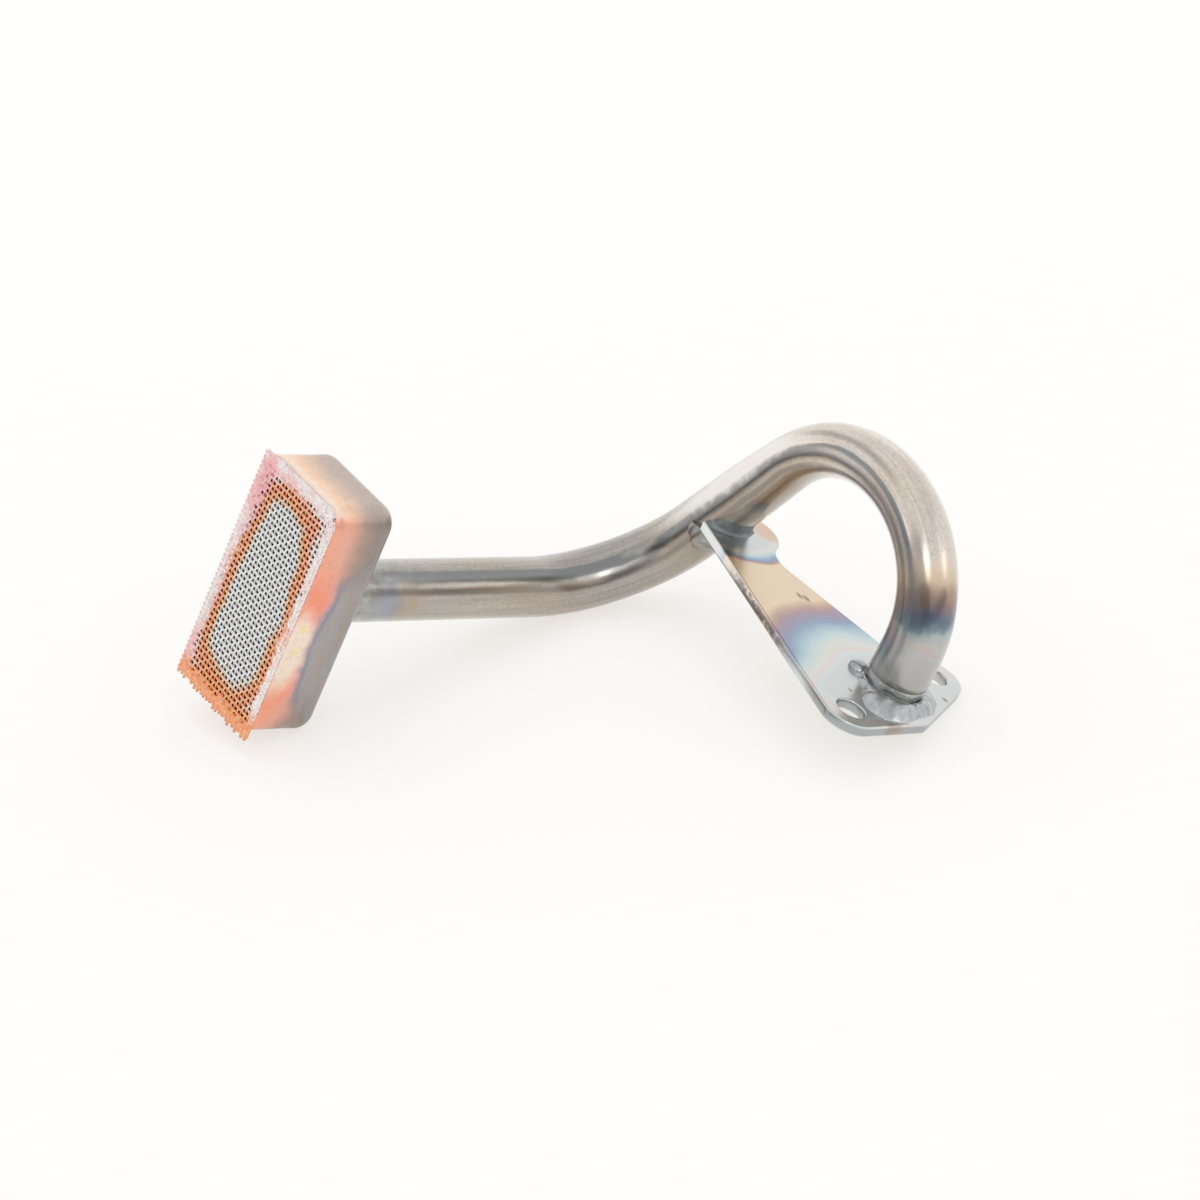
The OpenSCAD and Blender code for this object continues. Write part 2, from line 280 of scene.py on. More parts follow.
# %% Floor and world
def bright_to_eye(strength):
    """Light that only the camera and reflections see, so that the floor looks white."""
    path = put("ShaderNodeLightPath")
    seen = calc("MAXIMUM", path.outputs["Is Camera Ray"], path.outputs["Is Glossy Ray"])
    seen = calc("MAXIMUM", seen, path.outputs["Is Transmission Ray"])
    return times(seen, strength)


def flat_piece(name, corners, material):
    """A flat stage piece with four corners."""
    bm = bmesh.new()
    ops.contextual_create(bm, geom=[bm.verts.new(c) for c in corners])
    mesh = bpy.data.meshes.new(name)
    bm.to_mesh(mesh)
    bm.free()
    mesh.materials.append(material)
    made = bpy.data.objects.new(name, mesh)
    scene.collection.objects.link(made)
    made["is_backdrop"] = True
    return made


def blank_material(name):
    """A new material, with its empty node tree on the bench."""
    made = bpy.data.materials.new(name)
    made.use_nodes = True
    Bench.tree = made.node_tree
    Bench.tree.nodes.clear()
    return made


paper = blank_material("white_paper")
matt = put("ShaderNodeBsdfDiffuse", {"Color": (0.28, 0.31, 0.335)}).outputs[0]
shine = bright_to_eye(0.69)
glow = put("ShaderNodeEmission", {"Color": (1, 0.945, 0.885), "Strength": shine}).outputs[0]
both = put("ShaderNodeAddShader", {0: matt, 1: glow}).outputs[0]
put("ShaderNodeOutputMaterial", {"Surface": both})
flat_piece("floor", [(-9, -9, 0), (9, -9, 0), (9, 9, 0), (-9, 9, 0)], paper)

world = bpy.data.worlds.new("white_room")
world.use_nodes = True
background = world.node_tree.nodes["Background"].inputs
feed(background["Color"], (1, 1, 1))
feed(background["Strength"], 1)
scene.world = world
print("white floor and", world.name)


# %% Cards of the room
def toward(azimuth, elevation):
    """A direction from the part, in degrees round from +X and up from the floor."""
    flat = cos(radians(elevation))
    turn = radians(azimuth)
    return Vector((flat * cos(turn), flat * sin(turn), sin(radians(elevation))))


def card(name, azimuth, elevation, wide, high, far, colour, strength=1):
    """A card that faces the part, given by direction and size in degrees and distance in m."""
    made = blank_material(name)
    light = put("ShaderNodeEmission", {"Color": colour, "Strength": strength}).outputs[0]
    put("ShaderNodeOutputMaterial", {"Surface": light})
    middle = toward(azimuth, elevation)
    across = UP.cross(middle).normalized() * tan(radians(wide / 2))
    upward = middle.cross(across).normalized() * tan(radians(high / 2))
    signs = ((-1, -1), (1, -1), (1, 1), (-1, 1))
    corners = [far * (middle + i * across + j * upward) for i, j in signs]
    hung = flat_piece(name, corners, made)
    hung.visible_camera = False
    hung.visible_diffuse = False
    hung.visible_shadow = False


card("ceiling_card", 40, 88, 112, 112, 2.4, (0.84, 0.85, 0.86))
card("front_low_card", -103, 5, 108, 11, 1.8, (0.42, 0.43, 0.45))
card("front_dark_card", -127, 19, 40, 18, 1.75, (0.36, 0.36, 0.37))
card("left_wall_card", 178, 14, 62, 28, 1.9, (0.46, 0.48, 0.50))
card("front_lamp_card", -109, 38, 14, 11, 1.6, (1, 1, 1), 4)
card("right_lamp_card", -46, 16, 14, 8, 1.6, (1, 0.98, 0.95), 2.2)
card("left_lamp_card", 181, 37, 10, 6, 1.6, (1, 1, 1), 2.2)

top_lamp = bpy.data.lights.new("top_lamp", "AREA")
top_lamp.size = 1.4
top_lamp.energy = 5
lamp = bpy.data.objects.new("top_lamp", top_lamp)
lamp.location = toward(60, 68) * 2
lamp.rotation_euler = lamp.location.to_track_quat("Z", "Y").to_euler()
lamp.visible_glossy = False
scene.collection.objects.link(lamp)
print("the lamp stands", round(lamp.location.length, 2), "m away")

# %% [markdown]
# ## Temper colours
# Steel that gets hot in air grows a thin oxide film, and the film's thickness gives its colour:
# straw, gold, purple, blue, pale blue, cream and grey, always in that order. The pipe and the
# plate both show it round their welds. A picture could be painted on, but one ramp from heat
# to colour, kept as a group, gives every piece the same order of colours.

# %% Shared effects as node groups
def new_group(name, inputs, outputs):
    """A node group with named sockets, put on the bench; returns its tree and its inner ends."""
    tree = bpy.data.node_groups.new(name, "ShaderNodeTree")
    Bench.tree = tree
    for way, sockets in (("INPUT", inputs), ("OUTPUT", outputs)):
        for socket, kind in sockets:
            tree.interface.new_socket(socket, in_out=way, socket_type="NodeSocket" + kind)
    return tree, put("NodeGroupInput").outputs, put("NodeGroupOutput").inputs


def use(group, inputs):
    """A node group placed in a material."""
    return put("ShaderNodeGroup", inputs, node_tree=group).outputs


temper, come, go = new_group("temper_colours", [("Heat", "Float"), ("Steel", "Color")],
                             [("Color", "Color")])
film = ramp(come["Heat"],
            (0.00, (0.66, 0.57, 0.46)), (0.24, (0.80, 0.64, 0.46)),
            (0.335, (0.55, 0.39, 0.31)), (0.40, (0.41, 0.31, 0.36)),
            (0.47, (0.33, 0.33, 0.44)), (0.54, (0.29, 0.39, 0.50)),
            (0.62, (0.40, 0.54, 0.61)), (0.70, (0.54, 0.66, 0.69)),
            (0.84, (0.71, 0.71, 0.66)), (0.91, (0.73, 0.65, 0.62)),
            (0.955, (0.66, 0.71, 0.72)), (1.00, (0.64, 0.66, 0.65)))
shown = band(come["Heat"], 0, 0.2)
feed(go["Color"], tint(shown, come["Steel"], film))
print("temper ramp has its colours from straw to grey")

# %% [markdown]
# ## Drawn grain and flecks
# Pipe and sheet come from the mill with fine lines along the way they were drawn, and with
# small pits and flecks. Both are noise: the lines are noise that was stretched a great deal in
# one direction, and the flecks are the few smallest cells of a cell pattern.

# %% Grain and fleck groups
grain, come, go = new_group("drawn_grain", [("Lines", "Vector"), ("Scale", "Float")],
                            [("Height", "Float"), ("Tone", "Float")])
fine = cloud(come["Lines"], come["Scale"], 4, 0.6)
broad = cloud(come["Lines"], times(come["Scale"], 0.31))
feed(go["Height"], fine)
feed(go["Tone"], scaled(fine, 0.45, times(broad, 0.55)))

flecks, come, go = new_group("flecks", [("Place", "Vector"), ("Scale", "Float"),
                                        ("Size", "Float")], [("Mask", "Float")])
cells = put("ShaderNodeTexVoronoi", {"Vector": come["Place"], "Scale": come["Scale"]})
few = calc("GREATER_THAN", split(cells.outputs["Color"])[0], 0.72)
near = band(cells.outputs["Distance"], come["Size"], 0)
feed(go["Mask"], times(few, near))
print("groups:", ", ".join(g.name for g in bpy.data.node_groups))

# %% [markdown]
# ## Putting a piece in place
# Every piece ends the same way: its bmesh is laid down by one of the two matrices, becomes a
# mesh with smooth shading and its finish, is hung on the root body, and the solids that it stands
# for are hidden. One helper does that.

# %% Finish a piece
def finish_piece(bm, name, place, material, slot, *nodes):
    """Lays the bmesh down, makes the object, hangs it on the root body and hides its solids."""
    ops.transform(bm, matrix=place, verts=bm.verts)
    mesh = bpy.data.meshes.new(name)
    bm.to_mesh(mesh)
    bm.free()
    mesh.shade_smooth()
    mesh.materials.append(material)
    made = bpy.data.objects.new(name, mesh)
    scene.collection.objects.link(made)
    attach(made, "root")
    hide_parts(*nodes)
    print(name, "has", len(mesh.polygons), "faces before its modifiers")
    return made


def metal(colour, rough, height, depth, strength, oxide=0):
    """The end of a metal's graph: bump with a depth in mm, shader and output. Oxide is a clear film."""
    bump = put("ShaderNodeBump", {"Height": height, "Distance": depth * MM, "Strength": strength})
    shader = put("ShaderNodeBsdfPrincipled", {
        "Metallic": 1, "Base Color": colour, "Roughness": rough, "Coat Weight": oxide,
        "Coat Roughness": 0.2, "Coat IOR": 1.8, "Normal": bump.outputs[0]})
    put("ShaderNodeOutputMaterial", {"Surface": shader.outputs[0]})


def thicken(piece, thickness):
    """Gives a sheet its thickness, inwards from the face that was modelled."""
    wall = piece.modifiers.new("wall", "SOLIDIFY")
    wall.thickness = thickness * MM
    wall.offset = -1


def face_out(bm):
    """Makes all faces look the same way, outwards where the mesh is closed."""
    ops.recalc_face_normals(bm, faces=bm.faces)


def verts_of(geom):
    """The vertices among what an operator made."""
    return [g for g in geom if isinstance(g, bmesh.types.BMVert)]


def edges_between(geom, verts):
    """The edges among what an operator made that join two of these vertices."""
    ends = set(verts)
    return [g for g in geom if isinstance(g, bmesh.types.BMEdge) and set(g.verts) <= ends]


def spin_round(bm, steps):
    """Spins a section once round the z axis into a closed ring."""
    ops.spin(bm, geom=bm.verts[:] + bm.edges[:], cent=(0, 0, 0), axis=UP, angle=2 * pi,
             steps=steps, use_merge=True)
    ops.remove_doubles(bm, verts=bm.verts, dist=0.001)


def eased(value, low, high):
    """Goes softly from 0 at low to 1 at high."""
    t = min(1, max(0, (value - low) / (high - low)))
    return t * t * (3 - 2 * t)


def rough_at(point, size):
    """Smooth noise from -1 to 1 with lumps of that size, the same in every run."""
    return noise.noise(Vector(point) / size)


print("a piece is finished by one call")

# %% [markdown]
# ## The suction pipe
# The real pipe is one length of drawn steel tube. Its outlet end is turned down a little, it
# makes a hook of 153 degrees, passes the bracket's saddle, turns once more and runs to the cup.
# A curve with a round bevel would give the route quickly, but a bender flattens the tube in its
# bends, and a curve's bevel stays round. So a ring of vertices is extruded step by step along
# the route. Every vertex keeps its place on the unrolled tube, which the finish needs later.

# %% Sweep the pipe
RING = 72


def push_ring(bm, edges, step, unrolled, advance):
    """Extrudes an open ring by one step and moves its place along the tube."""
    made = ops.extrude_edge_only(bm, edges=edges)["geom"]
    verts = verts_of(made)
    ops.transform(bm, matrix=step, verts=verts)
    for v in verts:
        v[unrolled].z += advance
    return edges_between(made, verts)


def straight(direction, length, count):
    """Steps along a straight: their number, the move of each and its length."""
    return count, Matrix.Translation(direction * (length / count)), length / count


def bent(centre, axis, angle, count):
    """Steps round a bend: their number, the turn of each and its length."""
    turn = Matrix.Rotation(angle / count, 4, axis)
    about = Matrix.Translation(centre) @ turn @ Matrix.Translation(-centre)
    return count, about, BEND_R * angle / count


def swell(before, after, rise):
    """One step that takes a ring at the outlet from one radius to another and lifts it."""
    wider = after / before
    return 1, Matrix.Translation((0, 0, rise)) @ Matrix.Diagonal((wider, wider, 1, 1)), rise


SPIGOT_R, GROOVE_R, SHOULDER_R = 10.45, 10.35, 10.85
SPIGOT_LOW = -3.5
INTO_CUP = 2.2
pipe_bm = bmesh.new()
unrolled = pipe_bm.verts.layers.float_vector.new("unrolled")
start = ops.create_circle(pipe_bm, segments=RING, radius=SPIGOT_R)["verts"]
for v in start:
    v[unrolled] = v.co * (PIPE_R / SPIGOT_R)
ops.translate(pipe_bm, vec=UP * SPIGOT_LOW, verts=start)
ring = list(pipe_bm.edges)

HOOK_TURN = pi - MID_LEAN
route = [straight(UP, 8.2, 5),
         swell(SPIGOT_R, GROOVE_R, 0.3),
         swell(GROOVE_R, SHOULDER_R, 0.05),
         swell(SHOULDER_R, PIPE_R, 0.25),
         straight(UP, 8.2, 4),
         bent(HOOK_C, -ALONG, HOOK_TURN, 76),
         straight(-LEAN, MID_LEG, 26),
         bent(BEND_C, -INWARD, pi / 2, 46),
         straight(-ALONG, INLET_LEG + INTO_CUP, 44)]
for count, step, advance in route:
    for _ in range(count):
        ring = push_ring(pipe_bm, ring, step, unrolled, advance)
pipe_end = next(iter(ring)).verts[0].co
print("the pipe ends", round((pipe_end - CUP_BACK).dot(-ALONG), 2), "mm inside the cup")

# %% [markdown]
# A bent tube is wider across its bend than in it. Each vertex of the hook is moved towards the
# hook's middle line, and a little outwards at right angles to it, and this fades away on the
# straights. The second bend is flattened less.

# %% Flatten the bends
HOOK_FLAT, BEND_FLAT, SPREAD = 0.115, 0.06, 0.35
HOOK_FROM = 17
HOOK_TO = HOOK_FROM + BEND_R * HOOK_TURN
BEND_FROM = HOOK_TO + MID_LEG
BEND_TO = BEND_FROM + BEND_R * pi / 2


def squeeze(v, middle, out, across, amount):
    """Moves a vertex as bending does: in towards the middle line, out across the bend."""
    arm = v.co - middle
    v.co -= out * arm.dot(out) * amount
    v.co += across * arm.dot(across) * amount * SPREAD


for v in pipe_bm.verts:
    s = v[unrolled].z
    in_hook = eased(s, HOOK_FROM + 6, HOOK_FROM + 34) * (1 - eased(s, HOOK_TO - 8, HOOK_TO + 26))
    in_bend = eased(s, BEND_FROM - 8, BEND_FROM + 22) * (1 - eased(s, BEND_TO - 22, BEND_TO + 8))
    if in_hook > 0:
        angle = min(HOOK_TURN, (s - HOOK_FROM) / BEND_R)
        out = Vector((cos(angle), 0, sin(angle)))
        middle = HOOK_C + BEND_R * out - max(0, s - HOOK_TO) * LEAN
        squeeze(v, middle, out, ALONG, HOOK_FLAT * in_hook)
    elif in_bend > 0:
        angle = min(pi / 2, max(0, (s - BEND_FROM) / BEND_R))
        out = ALONG * cos(angle) - LEAN * sin(angle)
        middle = BEND_C + BEND_R * out + max(0, BEND_FROM - s) * LEAN
        middle -= max(0, s - BEND_TO) * ALONG
        squeeze(v, middle, out, INWARD, BEND_FLAT * in_bend)
print("hook from", HOOK_FROM, "to", round(HOOK_TO), "mm along the tube")
print("bend from", round(BEND_FROM), "to", round(BEND_TO), "mm along the tube")

# %% [markdown]
# The finish of the pipe goes by the place on the unrolled tube: heat tints by the distance
# along it, and drawn lines that run along it through both bends. Object coordinates would make
# straight bands that cut across the bends instead.

# %% Finish of the pipe
pipe_steel = blank_material("drawn_pipe_steel")
on_tube = put("ShaderNodeAttribute", attribute_name="unrolled").outputs["Vector"]
tube_x, tube_y, tube_s = split(on_tube)
drift = cloud(on_tube, 0.11, 3)
s_at = scaled(drift, 10, calc("SUBTRACT", tube_s, 5))
inner_side = band(tube_x, 1, -8)

drawn = use(grain, {"Lines": stretched(on_tube, (1, 1, 0.03)), "Scale": 1.7})
plain = ramp(slope(s_at, 0, 360), (0, (0.52, 0.51, 0.49)), (0.14, (0.84, 0.75, 0.665)),
             (0.28, (0.95, 0.87, 0.79)), (0.38, (0.70, 0.63, 0.56)), (0.50, (0.52, 0.47, 0.41)),
             (0.62, (0.50, 0.46, 0.41)), (0.78, (0.53, 0.475, 0.41)))
streaks = ramp(drawn["Tone"], (0.32, (0.66, 0.66, 0.66)), (0.66, (1, 1, 1)))
grit = cloud(on_tube, 0.9, 4, 0.7)
gritty = ramp(grit, (0.36, (0.78, 0.78, 0.78)), (0.56, (1, 1, 1)))
warm = band(cloud(on_tube, 0.03), 0.42, 0.62)
plain = tint(1, plain, streaks, "MULTIPLY")
plain = tint(0.8, plain, gritty, "MULTIPLY")
plain = tint(warm, plain, (1, 0.9, 0.78), "MULTIPLY", 0.6)
browned = times(inner_side, window(s_at, 104, 132, 184, 200))
greyed = times(inner_side, band(s_at, 100, 70), 0.7)
plain = layers(plain, (browned, (0.30, 0.24, 0.185), 0.65), (greyed, (0.47, 0.47, 0.46), 1))
print("the pipe's own steel is mixed by", len(Bench.tree.nodes), "nodes")

# %% [markdown]
# A dark grey band is painted along the tube, with a darker brown line beside it. Both are painted
# reflections of the dim room, at the same place round the tube from end to end. The angle round
# the unrolled tube finds both, whatever way the tube turns.

# %% Painted reflection bands of the pipe
TO_THE_END = (400, 410)
around = scaled(drift, 0.12, calc("ARCTAN2", tube_y, tube_x))
around = slope(around, -pi + 0.06, 0.06)


def strip(across, along):
    """A strip of the tube: how it rises and falls round the tube and along it."""
    return times(window(around, *across), window(s_at, *along))


hook_part = band(tube_s, 130, 100)
# Painted reflection: a dark grey band at a fixed angle round the tube, wider in the hook.
dark_band_end = scaled(hook_part, 0.055, 0.565)
painted_dark_band = window(around, 0.42, 0.45, calc("SUBTRACT", dark_band_end, 0.03), dark_band_end)
painted_dark_band = times(painted_dark_band, scaled(drawn["Tone"], 0.7, 0.42, clamp=True))
# Painted highlights: the dark band is lightened where lamp reflections cross it, in the second bend and
# along the hook's middle, and a painted highlight spot lies on the middle straight.
painted_band_highlight = calc("MAXIMUM", window(s_at, 197, 204, 214, 224), hook_part)
painted_band_highlight = times(painted_band_highlight, window(around, 0.46, 0.50, 0.53, 0.57), 0.75)
painted_highlight_spot = soft_spot(stirred(on_tube, 0.3, 4), (4.8, -9.9, 153), (5, 4.2, 36), 0.9)
lost = calc("MAXIMUM", painted_band_highlight, times(painted_highlight_spot, 0.75))
painted_dark_band = times(painted_dark_band, calc("SUBTRACT", 1, lost))
# Painted reflection: a dark brown line beside the dark band, from the hook to the cup.
painted_dark_line = strip((0.280, 0.312, 0.340, 0.375), (95, 125, *TO_THE_END))
# Painted highlight: a light line along the second bend and the inlet leg, where the front lamp's
# reflection runs.
painted_lamp_line = strip((0.365, 0.395, 0.410, 0.435), (195, 220, *TO_THE_END))
plain = layers(plain, (painted_dark_band, (0.17, 0.18, 0.185), 1), (painted_dark_line, (0.22, 0.175, 0.14), 0.75),
               (painted_lamp_line, (0.80, 0.78, 0.75), 0.42), (painted_highlight_spot, (0.93, 0.89, 0.83), 0.8))
# Painted shade: two darker brown lines on the hook, which stand in for the reflection of the dim room.
hook_painted_shade = strip((0.655, 0.715, 0.725, 0.785), (70, 88, 108, 128))
low_painted_shade = strip((0.57, 0.62, 0.715, 0.765), (32, 42, 54, 66))
print("with its seam it takes", len(Bench.tree.nodes), "nodes")

# %% [markdown]
# Heat rises towards the weld at the outlet, in three slopes that set how wide each temper colour
# is, and again beside the saddle. Painted shade lines on the hook, the painted dark reflection band,
# soot and scorch marks lie over the colours.

# %% Heat tints of the pipe
heat = times(slope(s_at, 57.5, 38.5), 0.36)
heat = scaled(slope(s_at, 38.5, 31.5), 0.26, heat)
heat = scaled(slope(s_at, 31.5, 22), 0.38, heat)
to_saddle = scaled(drift, 6, vec("DISTANCE", on_tube, (-7, 8.5, 163)))
heat = calc("MAXIMUM", heat, times(band(to_saddle, 17, 5), 0.6))
coloured = use(temper, {"Heat": heat, "Steel": plain})["Color"]
for amount, shade in ((band(heat, 0.08, 0.32), (0.70, 0.66, 0.64)),
                      (window(heat, 0.22, 0.36, 0.44, 0.54), (0.74, 0.72, 0.69)),
                      (window(heat, 0.42, 0.53, 0.58, 0.70), (0.46, 0.54, 0.62))):
    coloured = tint(amount, coloured, shade, "MULTIPLY")
scorch = ramp(cloud(on_tube, 0.16, 4, 0.65), (0.36, (0.26, 0.225, 0.19)),
              (0.5, (0.35, 0.37, 0.36)), (0.64, (0.52, 0.46, 0.39)))
# The painted shade lines of the hook and the painted dark reflection band lie over the temper colours.
coloured = layers(coloured, (calc("MAXIMUM", hook_painted_shade, low_painted_shade), (0.24, 0.19, 0.16), 0.55),
                  (painted_dark_band, (0.19, 0.20, 0.205), 0.75), (greyed, (0.42, 0.42, 0.43), 1),
                  (band(s_at, 306, 350), scorch, 0.75))
for along, stain in ((327, (0.44, 0.31, 0.20)), (336, (0.25, 0.29, 0.40))):
    mark = soft_spot(stirred(on_tube, 0.2, 4), (-9, -5.5, along), (7, 7, 6.5), 1.4)
    coloured = tint(mark, coloured, stain, share=0.6)
spots = use(flecks, {"Place": on_tube, "Scale": 0.33, "Size": 0.13})["Mask"]
coloured = layers(coloured, (band(s_at, 22, 10), (0.36, 0.36, 0.355), 0.5),
                  (band(tube_s, 11, 9.2), (0.30, 0.22, 0.16), 0.6),
                  (band(tube_s, 8.7, 8.4), (0.46, 0.47, 0.455), 1),
                  (spots, (0.16, 0.13, 0.11), 0.55))
worn = scaled(cloud(on_tube, 0.2, 3), 0.08, scaled(drawn["Tone"], 0.16, 0.13))
raised = scaled(grit, 0.5, drawn["Height"])
metal(coloured, worn, raised, depth=0.06, strength=0.5, oxide=0.8)

PIPE_WALL = 1.5
face_out(pipe_bm)
pipe = finish_piece(pipe_bm, "suction_pipe_bent", FLANGE, pipe_steel, "pipe_steel", "suction_pipe")
thicken(pipe, PIPE_WALL)

# %% [markdown]
# ## The strainer cup
# The cup is drawn from thin sheet, so all its corners are round: wide ones down the walls and
# narrower ones round its back. A cube without its lid gives that with two bevels, the upright
# edges first and then the loop round the back. Cuts across the walls give enough vertices for
# the rolled lip at the rim and for the slight waves that drawing leaves.

# %% Shape the cup
CUP_L, CUP_W, CUP_DEPTH, LIP_H = 91.2, 44.4, 28.8, 2.4
CUP_CORNER, BACK_ROUND, CUP_SHEET = 8, 7, 1.2
LIP_LOW = CUP_DEPTH - LIP_H
cup_bm = bmesh.new()
block = ops.create_cube(cup_bm, size=1)["verts"]
ops.transform(cup_bm, verts=block, matrix=Matrix.Translation((0, 0, CUP_DEPTH / 2))
              @ Matrix.Diagonal((CUP_L, CUP_W, CUP_DEPTH, 1)))
lid = [f for f in cup_bm.faces if f.calc_center_median().z > CUP_DEPTH - 1]
ops.delete(cup_bm, geom=lid, context="FACES_ONLY")


def round_off(edges, radius, segments):
    """Rounds edges of the cup."""
    ops.bevel(cup_bm, geom=edges, offset=radius, segments=segments, profile=0.5, affect="EDGES",
              material=-1)


def cut_across(normal, places):
    """Cuts the cup by planes across one direction, so that it has vertices there."""
    for at in places:
        geom = cup_bm.verts[:] + cup_bm.edges[:] + cup_bm.faces[:]
        ops.bisect_plane(cup_bm, geom=geom, dist=1e-4, plane_co=normal * at, plane_no=normal)


round_off([e for e in cup_bm.edges if abs(e.verts[0].co.z - e.verts[1].co.z) > 1], CUP_CORNER, 12)
round_off([e for e in cup_bm.edges if max(v.co.z for v in e.verts) < 0.01], BACK_ROUND, 10)
lip_cuts = [LIP_LOW - 0.5, LIP_LOW, LIP_LOW + 0.35, CUP_DEPTH - 0.7, CUP_DEPTH - 0.3]
cut_across(UP, [10 + 2.7 * k for k in range(6)] + lip_cuts)
cut_across(Vector((1, 0, 0)), [-36 + 4 * k for k in range(19)])
cut_across(Vector((0, 1, 0)), [-12 + 4 * k for k in range(7)])

for v in cup_bm.verts:
    side = Vector((v.co.x / CUP_L, v.co.y / CUP_W, 0)).normalized()
    if abs(v.co.x) < CUP_L / 2 - CUP_CORNER:
        side = Vector((0, 1 if v.co.y > 0 else -1, 0))
    elif abs(v.co.y) < CUP_W / 2 - CUP_CORNER:
        side = Vector((1 if v.co.x > 0 else -1, 0, 0))
    lip = eased(v.co.z, LIP_LOW - 0.4, LIP_LOW + 0.3)
    lip *= 1 - 0.8 * eased(v.co.z, CUP_DEPTH - 0.8, CUP_DEPTH)
    v.co += side * eased(v.co.z, 5, 12) * (1 - lip) * (0.1 * rough_at(v.co, 14) - 0.26)
print("the cup has", len(cup_bm.faces), "faces")

# %% [markdown]
# The pipe goes through the back of the cup. The flat back is one face with cuts in it, so a
# round hole is easiest to make by taking the flat faces out and filling the gap between their
# outline and a circle again.

# %% The pipe's hole in the cup
flat_back = [f for f in cup_bm.faces if max(v.co.z for v in f.verts) < 0.05]
ops.delete(cup_bm, geom=flat_back, context="FACES")
outline = [e for e in cup_bm.edges if e.is_boundary and max(v.co.z for v in e.verts) < 0.1]
hole = ops.create_circle(cup_bm, segments=RING, radius=PIPE_R)["verts"]
outline += list({e for v in hole for e in v.link_edges})
ops.triangle_fill(cup_bm, edges=outline, use_beauty=True, normal=-UP)
face_out(cup_bm)
if sum(f.normal.dot(f.calc_center_median() - 15 * UP) for f in cup_bm.faces) < 0:
    ops.reverse_faces(cup_bm, faces=cup_bm.faces)
print("the hole has", len(hole), "edges")

# %% [markdown]
# Molten braze metal ran over the rim and left a copper film on the cup, which fades through
# pink and purple into bare steel. The film's lower edge is uneven, so the height on the wall is
# shifted by noise before it goes into a ramp. A paler patch on the near wall, where the metal
# stayed thick, is a soft spot of its own.

# %% Finish of the cup
cup_steel = blank_material("coppered_cup_steel")
at = place_mm(STRAINER)
loose = stirred(at, 0.1, 7)
real_x = split(at)[0]
depths = ((0, 0.58), (0.12, 0.70), (0.22, 0.60), (0.34, 0.50), (0.5, 0.48), (0.64, 0.62),
          (0.8, 0.66), (1, 0.60))
depth = ramp(slope(real_x, -CUP_L / 2, CUP_L / 2), *((along, (d, d, d)) for along, d in depths))
far_out = band(calc("ABSOLUTE", calc("ADD", real_x, 6)), 14, 34)
above = calc("SUBTRACT", split(loose)[2], scaled(depth, -20, CUP_DEPTH))
above = times(above, scaled(far_out, -0.5, 1))
copper = ramp(slope(above, -16, 14), (0.08, (0.39, 0.35, 0.325)), (0.30, (0.43, 0.385, 0.355)),
              (0.43, (0.42, 0.40, 0.40)), (0.49, (0.31, 0.30, 0.35)), (0.53, (0.50, 0.37, 0.41)),
              (0.575, (0.84, 0.40, 0.36)), (0.65, (0.97, 0.35, 0.24)), (0.80, (0.97, 0.34, 0.22)),
              (1, (0.97, 0.46, 0.34)))
faded = ramp(slope(above, -9, 6), (0.05, (0.36, 0.32, 0.295)), (0.36, (0.34, 0.285, 0.255)),
             (0.56, (0.47, 0.33, 0.275)), (0.76, (0.84, 0.46, 0.35)), (1, (0.97, 0.44, 0.30)))
peach = ramp(slope(above, -10, 5), (0.1, (0.52, 0.46, 0.42)), (0.55, (0.63, 0.51, 0.44)),
             (0.85, (0.98, 0.69, 0.49)), (1, (0.99, 0.82, 0.68)))
sheen = band(cloud(stretched(at, (0.25, 1, 1)), 0.2, 3), 0.5, 0.68)
pale = soft_spot(loose, (-10, -22, 25.5), (16, 9, 6.5), 0.8)
# Painted highlight: a pink glint on the near corner of the cup's rim.
painted_corner_glint = soft_spot(at, (44.6, -21.5, 24.5), (1.6, 5, 5), 1.2)
drops = [soft_spot(at, spot, (1.6, 3, 1.3), 1.2) for spot in ((-0.2, -22, 24.5), (-9.3, -22, 24))]
mottle = cloud(at, 0.55, 4, 0.65)
spots = use(flecks, {"Place": stirred(at, 0.3, 3), "Scale": 0.24, "Size": 0.12})["Mask"]
copper = layers(copper, (far_out, faded, 1),
                (times(sheen, band(above, 0, -3)), (0.36, 0.42, 0.46), 0.6),
                (pale, (0.96, 0.84, 0.70), 0.92), *((drop, (0.97, 0.80, 0.42), 1) for drop in drops),
                (painted_corner_glint, (0.95, 0.66, 0.63), 0.8), (band(real_x, 42, 45.2), peach, 0.92),
                (band(mottle, 0.5, 0.75), (0.32, 0.26, 0.24), 0.25), (spots, (0.24, 0.19, 0.17), 0.35))
metal(copper, scaled(mottle, 0.3, 0.2), mottle, depth=0.12, strength=0.45)

cup = finish_piece(cup_bm, "strainer_cup_drawn", STRAINER, cup_steel, "cup_steel", "strainer_cup")
thicken(cup, CUP_SHEET)

# %% [markdown]
# Where the pipe enters the cup there is a small soft fillet. Its section is a quarter of a
# circle, so two straight edges and a spun arc make it, and one full spin round the pipe's axis
# makes the ring.

# %% Fillet at the cup
FILLET = 1.8
neck_bm = bmesh.new()
corner = neck_bm.verts.new((PIPE_R - 0.3, 0, 0.3))
foot = neck_bm.verts.new((PIPE_R + FILLET, 0, 0.02))
arc = ops.spin(neck_bm, geom=[foot], cent=(PIPE_R + FILLET, 0, -FILLET), axis=ALONG,
               angle=-pi / 2, steps=7)
top = verts_of(arc["geom_last"])[0]
neck_bm.edges.new((top, corner))
neck_bm.edges.new((corner, foot))
spin_round(neck_bm, RING)
face_out(neck_bm)
finish_piece(neck_bm, "inlet_fillet", STRAINER, cup_steel, "cup_steel", "inlet_fillet_ring")

